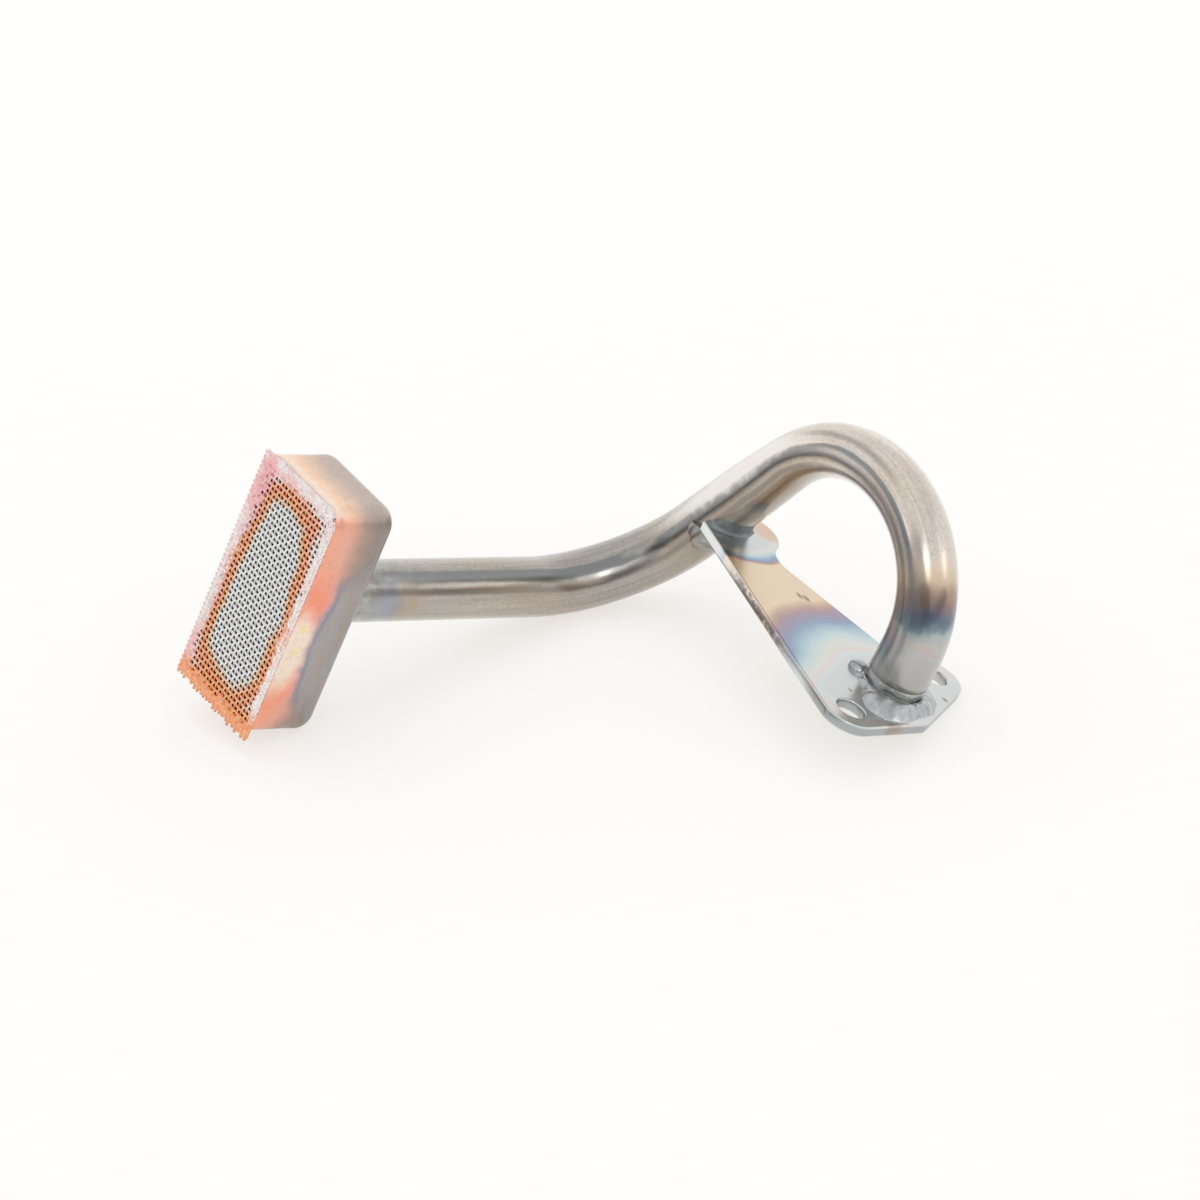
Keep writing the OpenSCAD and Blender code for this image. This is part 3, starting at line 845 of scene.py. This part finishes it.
# %% [markdown]
# ## The woven screen
# The screen is plain weave: each wire goes over one crossing wire and under the next. One wire
# is a six-sided ring that is extruded half a millimetre at a time while it rises and falls, and
# all the others are copies of it, every second one with the opposite wave. A bump map would do
# from far away, but its openings would stay closed and the edge would look cut from paper.

# %% Weave the screen
PITCH, WIRE_R, WAVE, WEAVE_Z = 2, 0.57, 0.22, 29.27
WIRE_SIDES, WIRE_STEP = 6, 0.5
LONG_FROM, LONG_TO, LONG_WIRES = -47.3, 44.3, 22
CROSS_FROM, CROSS_TO, CROSS_WIRES = -21.9, 21.9, 45
FIRST_LONG = -(LONG_WIRES - 1) * PITCH / 2
FIRST_CROSS = -0.5 - (CROSS_WIRES - 1) * PITCH / 2
SCREEN_LOW, SCREEN_TOP, SCREEN_SIDE, RIM_X = -45.6, 44.6, 22.15, 45.45
CORNER_R = 7.5
CORNER_C = Vector((RIM_X - CORNER_R, CORNER_R - SCREEN_SIDE, 0))


def wave_wire(bm, start, end, node_at, sign, place):
    """One wire along x that crosses another at node_at and every pitch from it, put in place."""
    steps = round((end - start) / WIRE_STEP)

    def wave(x):
        return sign * WAVE * cos(pi * (x - node_at) / PITCH)

    upright = Matrix.Translation((start, 0, wave(start))) @ Matrix.Rotation(pi / 2, 4, "Y")
    ring = ops.create_circle(bm, segments=WIRE_SIDES, radius=WIRE_R, cap_ends=True, matrix=upright)
    made = list(ring["verts"])
    cap = list(made[0].link_faces)
    for k in range(steps):
        x0, x1 = (start + (end - start) * n / steps for n in (k, k + 1))
        new = ops.extrude_face_region(bm, geom=cap)["geom"]
        cap = [g for g in new if isinstance(g, bmesh.types.BMFace)]
        ops.translate(bm, vec=(x1 - x0, 0, wave(x1) - wave(x0)), verts=verts_of(new))
        made += verts_of(new)
    ops.transform(bm, matrix=place, verts=made)
    return made


def repeat(bm, verts, step, count):
    """Copies a wire until there are count of them, one step further each time."""
    faces = list({f for v in verts for f in v.link_faces})
    for k in range(1, count):
        copy = ops.duplicate(bm, geom=faces)["geom"]
        ops.translate(bm, vec=Vector(step) * k, verts=verts_of(copy))


def round_corner(v, inset):
    """Draws a vertex in to the one corner of the screen that follows the cup's round corner."""
    arm = Vector((v.co.x - CORNER_C.x, v.co.y - CORNER_C.y, 0))
    if arm.x > 0 and arm.y < 0 and arm.length > CORNER_R - inset:
        v.co -= arm * (1 - (CORNER_R - inset) / arm.length)


quarter_turn = Matrix.Rotation(pi / 2, 4, "Z")
screen_bm = bmesh.new()
for odd in (0, 1):
    sign = 1 - 2 * odd
    place = Matrix.Translation((0, FIRST_LONG + odd * PITCH, WEAVE_Z))
    wire = wave_wire(screen_bm, LONG_FROM, LONG_TO, FIRST_CROSS, sign, place)
    repeat(screen_bm, wire, (0, 2 * PITCH, 0), LONG_WIRES // 2)
    place = Matrix.Translation((FIRST_CROSS + odd * PITCH, 0, WEAVE_Z)) @ quarter_turn
    wire = wave_wire(screen_bm, CROSS_FROM, CROSS_TO, FIRST_LONG, -sign, place)
    repeat(screen_bm, wire, (2 * PITCH, 0, 0), (CROSS_WIRES + 1 - odd) // 2)

for v in screen_bm.verts:
    wire_no = round((v.co.y - FIRST_LONG) / PITCH)
    free = eased(-v.co.x, 44.5, -LONG_FROM)
    v.co.x += free * (0.9 + 1.3 * rough_at((wire_no * 3.1, 0.4, 0), 1))
    v.co.y += free * 0.7 * rough_at((wire_no * 2.3, 7.7, 0), 1)
    v.co += 0.1 * Vector((rough_at(v.co, 9), rough_at(v.co + Vector((40, 0, 0)), 9), 0))
    v.co.x = max(v.co.x, LONG_FROM - 0.2)
    round_corner(v, 0.25)
print("screen of", LONG_WIRES, "by", CROSS_WIRES, "wires")

# %% [markdown]
# The wires are silver grey in the middle of the screen and copper near its edges, where braze
# metal crept along them. So their colour goes by the distance from the nearest edge, stirred by
# noise.

# %% Finish of the wires
wire_steel = blank_material("coppered_screen_wire")
at = place_mm(STRAINER)
loose = stirred(at, 0.06, 9)
x_at, y_at, _ = split(loose)
from_side = calc("SUBTRACT", 22, calc("ABSOLUTE", y_at))
from_low = times(calc("SUBTRACT", x_at, SCREEN_LOW), 0.6)
from_end = calc("MINIMUM", calc("SUBTRACT", SCREEN_TOP, x_at), from_low)
oval = calc("SUBTRACT", 1, reach(loose, (-5, -1.8, 0), (48, 21.5, 1e6)))
inset = scaled(oval, 11, times(calc("MINIMUM", from_side, from_end), 0.5))
copper = ramp(slope(inset, 0, 17), (0.12, (0.96, 0.86, 0.82)), (0.21, (0.98, 0.52, 0.36)),
              (0.36, (0.98, 0.48, 0.25)), (0.45, (0.92, 0.68, 0.52)), (0.53, (0.88, 0.88, 0.87)))
rosy = soft_spot(loose, (34, 18, 29), (13, 4.5, 9), 1)
mottle = cloud(at, 0.9, 3, 0.6)
copper = layers(copper, (band(x_at, -34, -41), (0.98, 0.46, 0.22), 1), (rosy, (0.98, 0.50, 0.54), 0.85),
                (band(y_at, 15, 18), (0.98, 0.60, 0.58), 0.45),
                (band(mottle, 0.55, 0.76), (0.56, 0.46, 0.40), 0.15))
metal(copper, scaled(mottle, 0.25, 0.15), mottle, depth=0.08, strength=0.4)
finish_piece(screen_bm, "strainer_screen_woven", STRAINER, wire_steel, "screen_wire", "strainer_screen")

# %% [markdown]
# ## The braze border
# Round the edge of the screen the braze metal filled the weave. Its inner edge is ragged: the
# metal stopped where it froze. A fine grid over the whole screen, with the vertices of the
# middle taken out by an uneven distance from the edge, gives that outline at once. The grid's
# height follows the buried wires.

# %% Shape the braze border
BRAZE_T = 1.1
braze_bm = bmesh.new()
ops.create_grid(braze_bm, x_segments=180, y_segments=88, size=1)
for v in braze_bm.verts:
    v.co.x = SCREEN_LOW + (RIM_X - SCREEN_LOW) * (v.co.x + 1) / 2
    v.co.y *= SCREEN_SIDE


def border_depth(v):
    """1 at the inner edge of the braze border, 0 at the screen's own edge."""
    wide = 5.2 + 2.4 * eased(v.co.x, -10, 38) if v.co.y > 0 else 4.4
    top = (SCREEN_TOP - v.co.x) / (5 + 1.6 * eased(v.co.y, -4, 16))
    depth = min((SCREEN_SIDE - abs(v.co.y)) / wide, top, (v.co.x - SCREEN_LOW) / 5.4)
    return depth + 0.35 * rough_at(v.co, 5) + 0.25 * rough_at(v.co, 1.7)


middle = [v for v in braze_bm.verts if border_depth(v) > 1]
ops.delete(braze_bm, geom=middle, context="VERTS")
for _ in range(3):
    ragged = [v for v in braze_bm.verts if v.is_boundary]
    ops.smooth_vert(braze_bm, verts=ragged, factor=0.4, use_axis_x=True, use_axis_y=True)
for v in braze_bm.verts:
    crowns = cos(pi * (v.co.x - FIRST_CROSS) / PITCH) * cos(pi * (v.co.y - FIRST_LONG) / PITCH)
    thin = eased(border_depth(v), 0.4, 1.1)
    v.co.z = WEAVE_Z + 0.53 - 0.6 * thin + 0.12 * abs(crowns) + 0.16 * rough_at(v.co, 2.2)
    rim = max(eased(v.co.x, SCREEN_TOP - 0.3, RIM_X), eased(abs(v.co.y), 21.3, SCREEN_SIDE))
    v.co.z -= 0.95 * rim
    v.co.x = min(RIM_X - 0.95 * eased(v.co.y, 12, 18), max(SCREEN_LOW, v.co.x))
    v.co.y = min(SCREEN_SIDE, max(-SCREEN_SIDE, v.co.y))
    round_corner(v, 0)
face_out(braze_bm)
if next(iter(braze_bm.faces)).normal.z < 0:
    ops.reverse_faces(braze_bm, faces=braze_bm.faces)

braze_metal = blank_material("braze_metal")
at = place_mm(STRAINER)
loose = stirred(at, 0.16, 5)
low_end = band(split(loose)[0], -36, -42)
grit = cloud(at, 0.8, 4, 0.7)
pink = ramp(grit, (0.36, (0.74, 0.57, 0.55)), (0.46, (0.95, 0.84, 0.81)), (0.60, (0.99, 0.97, 0.95)))
orange = ramp(grit, (0.34, (0.95, 0.28, 0.18)), (0.5, (0.99, 0.43, 0.22)), (0.68, (0.99, 0.63, 0.34)))
blushed = band(cloud(at, 0.14, 3), 0.48, 0.66)
pink = tint(blushed, pink, (0.96, 0.64, 0.64), share=0.75)
for spot, size in (((33, 17.5, 29), (12, 4, 9)), ((-36, 18, 29), (10, 6, 9)), ((40, 8, 29), (3, 9, 9))):
    pink = tint(soft_spot(loose, spot, size, 1.1), pink, (0.97, 0.46, 0.47), share=0.75)
metal(tint(low_end, pink, orange), scaled(grit, 0.3, 0.18), grit, depth=0.3, strength=0.7)
border = finish_piece(braze_bm, "braze_border", STRAINER, braze_metal, "braze", "rim_braze")
thicken(border, BRAZE_T)

# %% [markdown]
# ## The flange and its arm
# Flange, arm and saddle are one plate, cut to an outline of arcs and straight lines. Each arc is
# a vertex spun about the arc's centre, and single edges join their ends. The outline is
# filled, and its rim is extruded down in small steps that first go out and at the end go in
# again, which breaks the cut edges as a deburring tool does. A bevel would do the same, but the
# fill has very thin triangles, which a bevel tears. The broad faces are shaded flat.

# %% Outline of the plate
PLATE_T, BOLT_R, OUTLET_R = 4, 5.25, 10.55
HOLE_NEAR, HOLE_FAR = Vector((9.80575, -29.3118)), Vector((-5.20575, 26.7118))
EAR_R, NOSE_R, LOBE_R, NECK_R, EAR_NECK_R = 11, 8, 12.6, 12, 4
NOSE_C = Vector((12.8, -2))
CROSS_X = MID_LOW.x - MID_LOW.z * tan(MID_LEAN)
CROSS_A = PIPE_R / cos(MID_LEAN)
ARM_END = CROSS_X + CROSS_A - 8
LOBE_C = Vector((CROSS_X + 10.4, 6))
NEAR_TAPER, FAR_TAPER = radians(15.2), radians(12.4)
HEAD_FAR = Vector((-cos(FAR_TAPER), -sin(FAR_TAPER)))
OUT_FAR = Vector((-sin(FAR_TAPER), cos(FAR_TAPER)))
EDGE_FAR = HOLE_FAR - 6 * OUT_FAR
EDGE_NEAR = HOLE_NEAR - EAR_R * Vector((sin(NEAR_TAPER), cos(NEAR_TAPER)))


def heading(v):
    """The angle that a direction makes with x."""
    return atan2(v.y, v.x)


def tangent(c1, r1, c2, r2):
    """Outward normal of the straight line that touches two circles."""
    u = (c2 - c1).normalized()
    k = (r1 - r2) / (c2 - c1).length
    return u * k + sqrt(1 - k * k) * Vector((u.y, -u.x))


def blend_centre(c, r, fillet, side):
    """Centre of a fillet that touches the arm's far edge and a circle."""
    q = EDGE_FAR + OUT_FAR * fillet
    w = q - c
    b = w.dot(HEAD_FAR)
    return q + HEAD_FAR * (side * sqrt(b * b - w.dot(w) + (r + fillet) ** 2) - b)


def arc_chain(bm, centre, radius, start, end, steps):
    """A chain of edges along an arc, spun from one vertex; returns all its vertices."""
    count = len(bm.verts)
    middle = centre.to_3d()
    first = bm.verts.new(middle + radius * Vector((cos(start), sin(start), 0)))
    ops.spin(bm, geom=[first], cent=middle, axis=UP, angle=end - start, steps=steps)
    bm.verts.ensure_lookup_table()
    return bm.verts[count:]


plate_bm = bmesh.new()
into_plate = plate_bm.verts.layers.float_vector.new("into_plate")
near_nose = heading(tangent(HOLE_NEAR, EAR_R, NOSE_C, NOSE_R))
nose_far = heading(tangent(NOSE_C, NOSE_R, HOLE_FAR, EAR_R))
ear_neck = blend_centre(HOLE_FAR, EAR_R, EAR_NECK_R, 1)
ear_end = heading(HOLE_FAR - ear_neck)
neck = blend_centre(LOBE_C, LOBE_R, NECK_R, -1)
edge_side = heading(-OUT_FAR)
notch_c = Vector((CROSS_X - PLATE_T / 2 * tan(MID_LEAN), 0))
notch_half = acos((ARM_END - notch_c.x) / CROSS_A)
lobe_end = acos((ARM_END - LOBE_C.x) / LOBE_R)
arcs = ((HOLE_NEAR, EAR_R, heading(EDGE_NEAR - HOLE_NEAR), near_nose, 40),
        (NOSE_C, NOSE_R, near_nose, nose_far, 16),
        (HOLE_FAR, EAR_R, nose_far, ear_end + pi, 40),
        (ear_neck, EAR_NECK_R, ear_end, edge_side, 12),
        (neck, NECK_R, edge_side, heading(LOBE_C - neck), 16),
        (LOBE_C, LOBE_R, heading(neck - LOBE_C), lobe_end, 30),
        (notch_c, PIPE_R, notch_half, -notch_half, 30))
chains = [arc_chain(plate_bm, *arc) for arc in arcs]
for v in chains[-1]:
    v.co.x = notch_c.x + (v.co.x - notch_c.x) * CROSS_A / PIPE_R
horn_y = EDGE_NEAR.y + (EDGE_NEAR.x - ARM_END) * tan(NEAR_TAPER)
chains.append([plate_bm.verts.new((ARM_END, horn_y, 0))])
for one, other in zip(chains, chains[1:] + chains[:1]):
    plate_bm.edges.new((one[-1], other[0]))
for centre, radius in ((HOLE_NEAR, BOLT_R), (HOLE_FAR, BOLT_R), (Vector((0, 0)), OUTLET_R)):
    place = Matrix.Translation(centre.to_3d())
    ops.create_circle(plate_bm, segments=64, radius=radius, matrix=place)
print("outline of", len(plate_bm.edges), "edges")

# %% Thickness of the plate
ops.remove_doubles(plate_bm, verts=plate_bm.verts, dist=0.001)
ops.triangle_fill(plate_bm, edges=plate_bm.edges, use_beauty=True, normal=UP)
rim = [e for e in plate_bm.edges if e.is_boundary]
for e in rim:
    a, b = (v.co for v in e.verts)
    line = (b - a).normalized()
    inside = e.link_faces[0].calc_center_median() - a
    inside = (inside - line * inside.dot(line)).normalized()
    for v in e.verts:
        v[into_plate] += inside
rim_verts = {v for e in rim for v in e.verts}
for v in rim_verts:
    v[into_plate] = v[into_plate].normalized()

EDGE_R = 0.55
turns = [radians(a) for a in (0, 30, 60, 90)]
quarter = [(EDGE_R * (1 - sin(a)), EDGE_R * (1 - cos(a))) for a in turns]
sections = [(inset, -drop) for inset, drop in quarter]
sections += [(inset, drop - PLATE_T) for inset, drop in reversed(quarter)]
was_inset, was_z = 0, 0
for number, (inset, z) in enumerate(sections):
    if number:
        made = ops.extrude_edge_only(plate_bm, edges=rim)["geom"]
        rim_verts = verts_of(made)
        rim = edges_between(made, rim_verts)
    for v in rim_verts:
        v.co += v[into_plate] * (inset - was_inset)
        v.co.z += z - was_z
    was_inset, was_z = inset, z
ops.triangle_fill(plate_bm, edges=rim, use_beauty=True, normal=-UP)
face_out(plate_bm)
print("plate of", len(plate_bm.faces), "faces")

# %% [markdown]
# The upper face shows all the temper colours in rings round both welds. Heat goes by the
# distance from each weld, and the hotter one counts. The ears ran hot all over, so there the
# distance across the flange counts for less. The cut sides are bare steel, dark with dirt half-way
# along the arm.

# %% Finish of the plate
plate_steel = blank_material("tempered_plate_steel")
at = place_mm(FLANGE)
x_at, y_at, z_at = split(at)
drift = calc("SUBTRACT", cloud(at, 0.06, 1), 0.5)
y_less = times(y_at, scaled(band(x_at, -24, 2), -0.45, 1))
squared = calc("ADD", times(x_at, x_at), times(y_less, y_less))
from_bead = scaled(drift, 6, calc("SQRT", squared))
to_saddle = scaled(drift, 5, vec("DISTANCE", at, (CROSS_X, 0, 0)))
heat = times(slope(to_saddle, 33.6, 28.8), 0.5)
heat = scaled(slope(to_saddle, 28.8, 22), 0.5, heat)
heat = calc("MAXIMUM", heat, slope(from_bead, 61.5, 18))
heat = calc("MAXIMUM", heat, 0.2)
rolled = use(grain, {"Lines": stretched(at, (0.12, 1, 1)), "Scale": 0.9})
plain = ramp(rolled["Tone"], (0.3, (0.50, 0.50, 0.49)), (0.7, (0.66, 0.65, 0.63)))
coloured = use(temper, {"Heat": heat, "Steel": plain})["Color"]
cut_side = window(z_at, -0.3, -0.8, -3.2, -3.8)
ear_side = times(cut_side, band(x_at, -14, 2))
dirty = times(cut_side, window(x_at, -76, -60, -36, -20), band(cloud(at, 0.35, 3, 0.6), 0.34, 0.56))
lobe_rust = soft_spot(stirred(at, 0.2, 4), (-91, 15, 0), (6.5, 6, 4), 0.8)
coloured = layers(coloured, (band(rolled["Tone"], 0.46, 0.75), (0.85, 0.83, 0.80), 0.05),
                  (cut_side, (0.88, 0.89, 0.90), 0.62), (ear_side, (0.29, 0.325, 0.33), 0.75),
                  (dirty, (0.18, 0.15, 0.14), 0.75), (lobe_rust, (0.72, 0.49, 0.35), 0.8))
for x, y, size in ((-51.4, 1.5, 1.9), (-53, -0.6, 1.9), (0.2, -21.4, 1), (8.1, 20.4, 1.4)):
    mark = soft_spot(stirred(at, 0.5, 1.5), (x, y, 0), (size, size * 0.55, 3), 0.9)
    coloured = tint(mark, coloured, (0.24, 0.17, 0.15), share=0.75)
scald = soft_spot(stirred(at, 0.4, 4), (20.2, -17, -1.5), (2.5, 4, 2), 1)
spots = use(flecks, {"Place": at, "Scale": 0.3, "Size": 0.12})["Mask"]
coloured = layers(coloured, (scald, (0.36, 0.24, 0.17), 0.5), (spots, (0.22, 0.20, 0.19), 0.5))
metal(coloured, scaled(rolled["Tone"], 0.1, 0.2), rolled["Height"], depth=0.03, strength=0.1)

plate = finish_piece(plate_bm, "flange_plate", FLANGE, plate_steel, "plate_steel", "flange_bracket")
plate.data.set_sharp_from_angle(angle=radians(35))
plate_up = FLANGE.to_3x3().col[2].normalized()
for face in plate.data.polygons:
    face.use_smooth = abs(face.normal.dot(plate_up)) < 0.9

# %% [markdown]
# ## The weld round the outlet
# The welder went round the outlet in one pass. The bead is broad at the front, has a tongue on the
# near side, and left a drop beside it. A spun section gives an even ring, and then every vertex
# is moved by where it lies round the ring: the width and height change, and short ripples follow
# the pass.

# %% Shape the outlet's bead
FRONT_AT, TONGUE_AT = 5, -54
BEAD_FROM, BEAD_STEPS, BEAD_STEP, BEAD_RING = SPIGOT_R + 0.3, 24, 0.25, 220
DROP_AT, DROP_SIZE = (-10.9, -7, 0.3), (4.2, 3.9, 2.7, 1)


def turn_between(a, b):
    """The turn from one direction to another, from -180 to 180 degrees."""
    return (a - b + 180) % 360 - 180


def bead_size(turn):
    """Width and height of the bead in a direction in degrees, and its height at the outlet."""
    front = 1 - eased(abs(turn_between(turn, FRONT_AT)), 50, 105)
    past = turn_between(turn, TONGUE_AT)
    tongue = 1 - eased(abs(past), 8, 40 if past < 0 else 52)
    return 3.6 + 3.2 * front + 7.4 * tongue, 1.6 + 0.8 * front + 1.2 * tongue, 0.6 + tongue


bead_bm = bmesh.new()
across = bead_bm.verts.layers.float.new("across")
section = [(BEAD_FROM + k * BEAD_STEP, 0, k / BEAD_STEPS) for k in range(BEAD_STEPS + 1)]
section += [(BEAD_FROM + BEAD_STEPS * BEAD_STEP, -0.5, 2), (BEAD_FROM, -0.5, -1)]
loop = []
for x, z, share in section:
    loop.append(bead_bm.verts.new((x, 0, z)))
    loop[-1][across] = share
for one, other in zip(loop, loop[1:] + loop[:1]):
    bead_bm.edges.new((one, other))
spin_round(bead_bm, BEAD_RING)
for v in bead_bm.verts:
    turn = atan2(v.co.y, v.co.x)
    wide, high, inner = bead_size(degrees(turn))
    share = min(1, max(0, v[across]))
    ripple = 0.5 + 0.5 * cos(turn * 15 + 5 * share * share + 4 * rough_at((turn * 2, 0, 0), 1))
    spread = 1 + 0.03 * ripple + 0.12 * rough_at((cos(turn) * 3, sin(turn) * 3, 0.3), 1)
    far = SPIGOT_R - 0.1 + share * wide * spread
    crest = sin(pi * share ** 0.8) ** 0.9 * (0.93 + 0.07 * ripple)
    v.co.x, v.co.y = far * cos(turn), far * sin(turn)
    if 0 <= v[across] <= 1:
        lumps = 0.6 * rough_at((v.co.x, v.co.y, 2), 5.5) + 0.12 * rough_at((v.co.x, v.co.y, 9), 2.4)
        v.co.z = -0.15 + (high + lumps) * crest + inner * (1 - share) ** 2
place = Matrix.Translation(DROP_AT) @ Matrix.Diagonal(DROP_SIZE)
for v in ops.create_icosphere(bead_bm, subdivisions=4, radius=1, matrix=place)["verts"]:
    v.co += 0.25 * noise.noise_vector(v.co / 4)
face_out(bead_bm)
print("bead of", len(bead_bm.faces), "faces")

# %% [markdown]
# Fresh weld metal is bright and grey-white, darker and browner in the hollows where soot and
# scale stay. The same noise that makes the metal rough finds the hollows. One function makes all
# three finishes: bright at the outlet, brown below the saddle and dull above it.

# %% Finish of the welds
def weld_finish(name, dark, light, rough_from):
    """Weld metal between a dark and a light colour."""
    made = blank_material(name)
    at = place_mm(FLANGE)
    lumps = cloud(at, 0.28, 3, 0.55)
    rust = band(cloud(at, 0.16, 3), 0.55, 0.7)
    spots = use(flecks, {"Place": at, "Scale": 0.8, "Size": 0.22})["Mask"]
    colour = layers(ramp(lumps, (0.28, dark), (0.70, light)), (rust, (0.40, 0.30, 0.22), 0.18),
                    (spots, (0.12, 0.11, 0.10), 0.6))
    metal(colour, scaled(lumps, 0.2, rough_from), lumps, depth=0.1, strength=0.1)
    return made


bright_weld = weld_finish("bright_weld_metal", (0.34, 0.355, 0.365), (0.60, 0.62, 0.63), 0.13)
brown_weld = weld_finish("brown_weld_metal", (0.25, 0.235, 0.22), (0.46, 0.45, 0.43), 0.25)
dull_weld = weld_finish("dull_weld_metal", (0.19, 0.205, 0.21), (0.29, 0.31, 0.315), 0.34)
finish_piece(bead_bm, "outlet_bead", FLANGE, bright_weld, "weld_metal", "flange_weld")

# %% [markdown]
# ## The welds at the saddle
# Here the metal lies hollow in the corner between the plate and the leaning pipe. The corner's
# line is an ellipse and the corner's angle changes along it, so a spin can't follow it. One
# section is extruded along the ellipse instead, and each new section is set between a point on
# the pipe and a point on the plate.

# %% Shape the saddle's welds
SADDLE_STEPS, FADING = 60, 14


def on_pipe(turn, z):
    """The point on the middle straight at a turn about its axis and a height over the plate."""
    up = (z + PIPE_R * cos(turn) * sin(MID_LEAN)) / cos(MID_LEAN)
    return Vector((CROSS_X, 0, 0)) + LEAN * up + PIPE_R * (cos(turn) * INWARD + sin(turn) * ALONG)


def fillet_section(turn, face, rise, foot, belly, side):
    """Points of the fillet's section on the plate's face, up (1) or down (-1) from it."""
    away = Vector((cos(turn) * cos(MID_LEAN), sin(turn), 0)).normalized()
    corner = on_pipe(turn, face)
    high = on_pipe(turn, face + side * rise) - away * 0.15
    to_edge = -Vector((sin(NEAR_TAPER), cos(NEAR_TAPER), 0))
    if away.dot(to_edge) > 0.05:
        room = (EDGE_NEAR.to_3d() - corner).dot(to_edge) / away.dot(to_edge)
        foot = min(foot, max(1.2 + belly, room - 0.4))
    toe = Vector((corner.x, corner.y, face)) + away * foot
    middle = corner + belly * (high + toe - 2 * corner)
    into_plate = Vector((0, 0, side * 0.4))
    shares = [k / 8 for k in range(9)]
    points = [high * (1 - t) ** 2 + middle * 2 * t * (1 - t) + toe * t * t for t in shares]
    return points + [toe - into_plate, corner - away * 0.8 - into_plate, high - away * 0.5]


def saddle_bead(face, rise, foot, belly, side, first, last, rising):
    """A fillet weld between two turns in degrees. It rises over a few steps and fades at its end."""
    bm = bmesh.new()
    order = bm.verts.layers.int.new("order")
    for k in range(SADDLE_STEPS + 1):
        turn = radians(first + (last - first) * k / SADDLE_STEPS)
        blunt = sin(pi / 2 * min(1, (k + 0.3) / rising)) ** 0.6
        fade = blunt * (1 - eased(k, SADDLE_STEPS - FADING, SADDLE_STEPS + 1))
        size = (0.06 + 0.94 * fade) * (1 + 0.08 * rough_at((k * 0.31, 1.7, face), 1))
        taller = 1 + 0.8 * belly * eased(degrees(turn), -70, -35)
        points = fillet_section(turn, face, rise * size * taller, foot * size, belly, side)
        if k == 0:
            verts = [bm.verts.new(p) for p in points]
            for n, v in enumerate(verts):
                v[order] = n
            ring = [bm.edges.new((a, b)) for a, b in zip(verts, verts[1:] + verts[:1])]
            ops.edgeloop_fill(bm, edges=ring)
        else:
            made = ops.extrude_edge_only(bm, edges=ring)["geom"]
            for v in verts_of(made):
                v.co = points[v[order]] + 0.05 * noise.noise_vector(points[v[order]] / 2.5)
            ring = edges_between(made, verts_of(made))
    ops.edgeloop_fill(bm, edges=ring)
    face_out(bm)
    return bm


upper_bm = saddle_bead(face=0, rise=5.8, foot=2.6, belly=0.12, side=1,
                       first=-66, last=60, rising=6)
finish_piece(upper_bm, "saddle_fillet_upper", FLANGE, dull_weld, "weld_metal", "saddle_weld_upper")
lower_bm = saddle_bead(face=-PLATE_T, rise=6.4, foot=2.6, belly=0.62, side=-1,
                       first=-84, last=60, rising=14)
finish_piece(lower_bm, "saddle_fillet_lower", FLANGE, brown_weld, "weld_metal", "saddle_weld_lower")

# %% [markdown]
# ## The sizes
# Both boxes, of the solids and of the dressed part, are printed. The dressed part has to stay
# inside the box of the solids.

# %% Print both boxes
seen_low, seen_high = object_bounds()
boxes = {"cad": [[float(c) for c in cad_low], [float(c) for c in cad_high]],
         "visual": [[float(c) for c in seen_low], [float(c) for c in seen_high]]}
for name, (low, high) in boxes.items():
    print(name, "box:", [round(1000 * c, 2) for c in low], "to", [round(1000 * c, 2) for c in high])
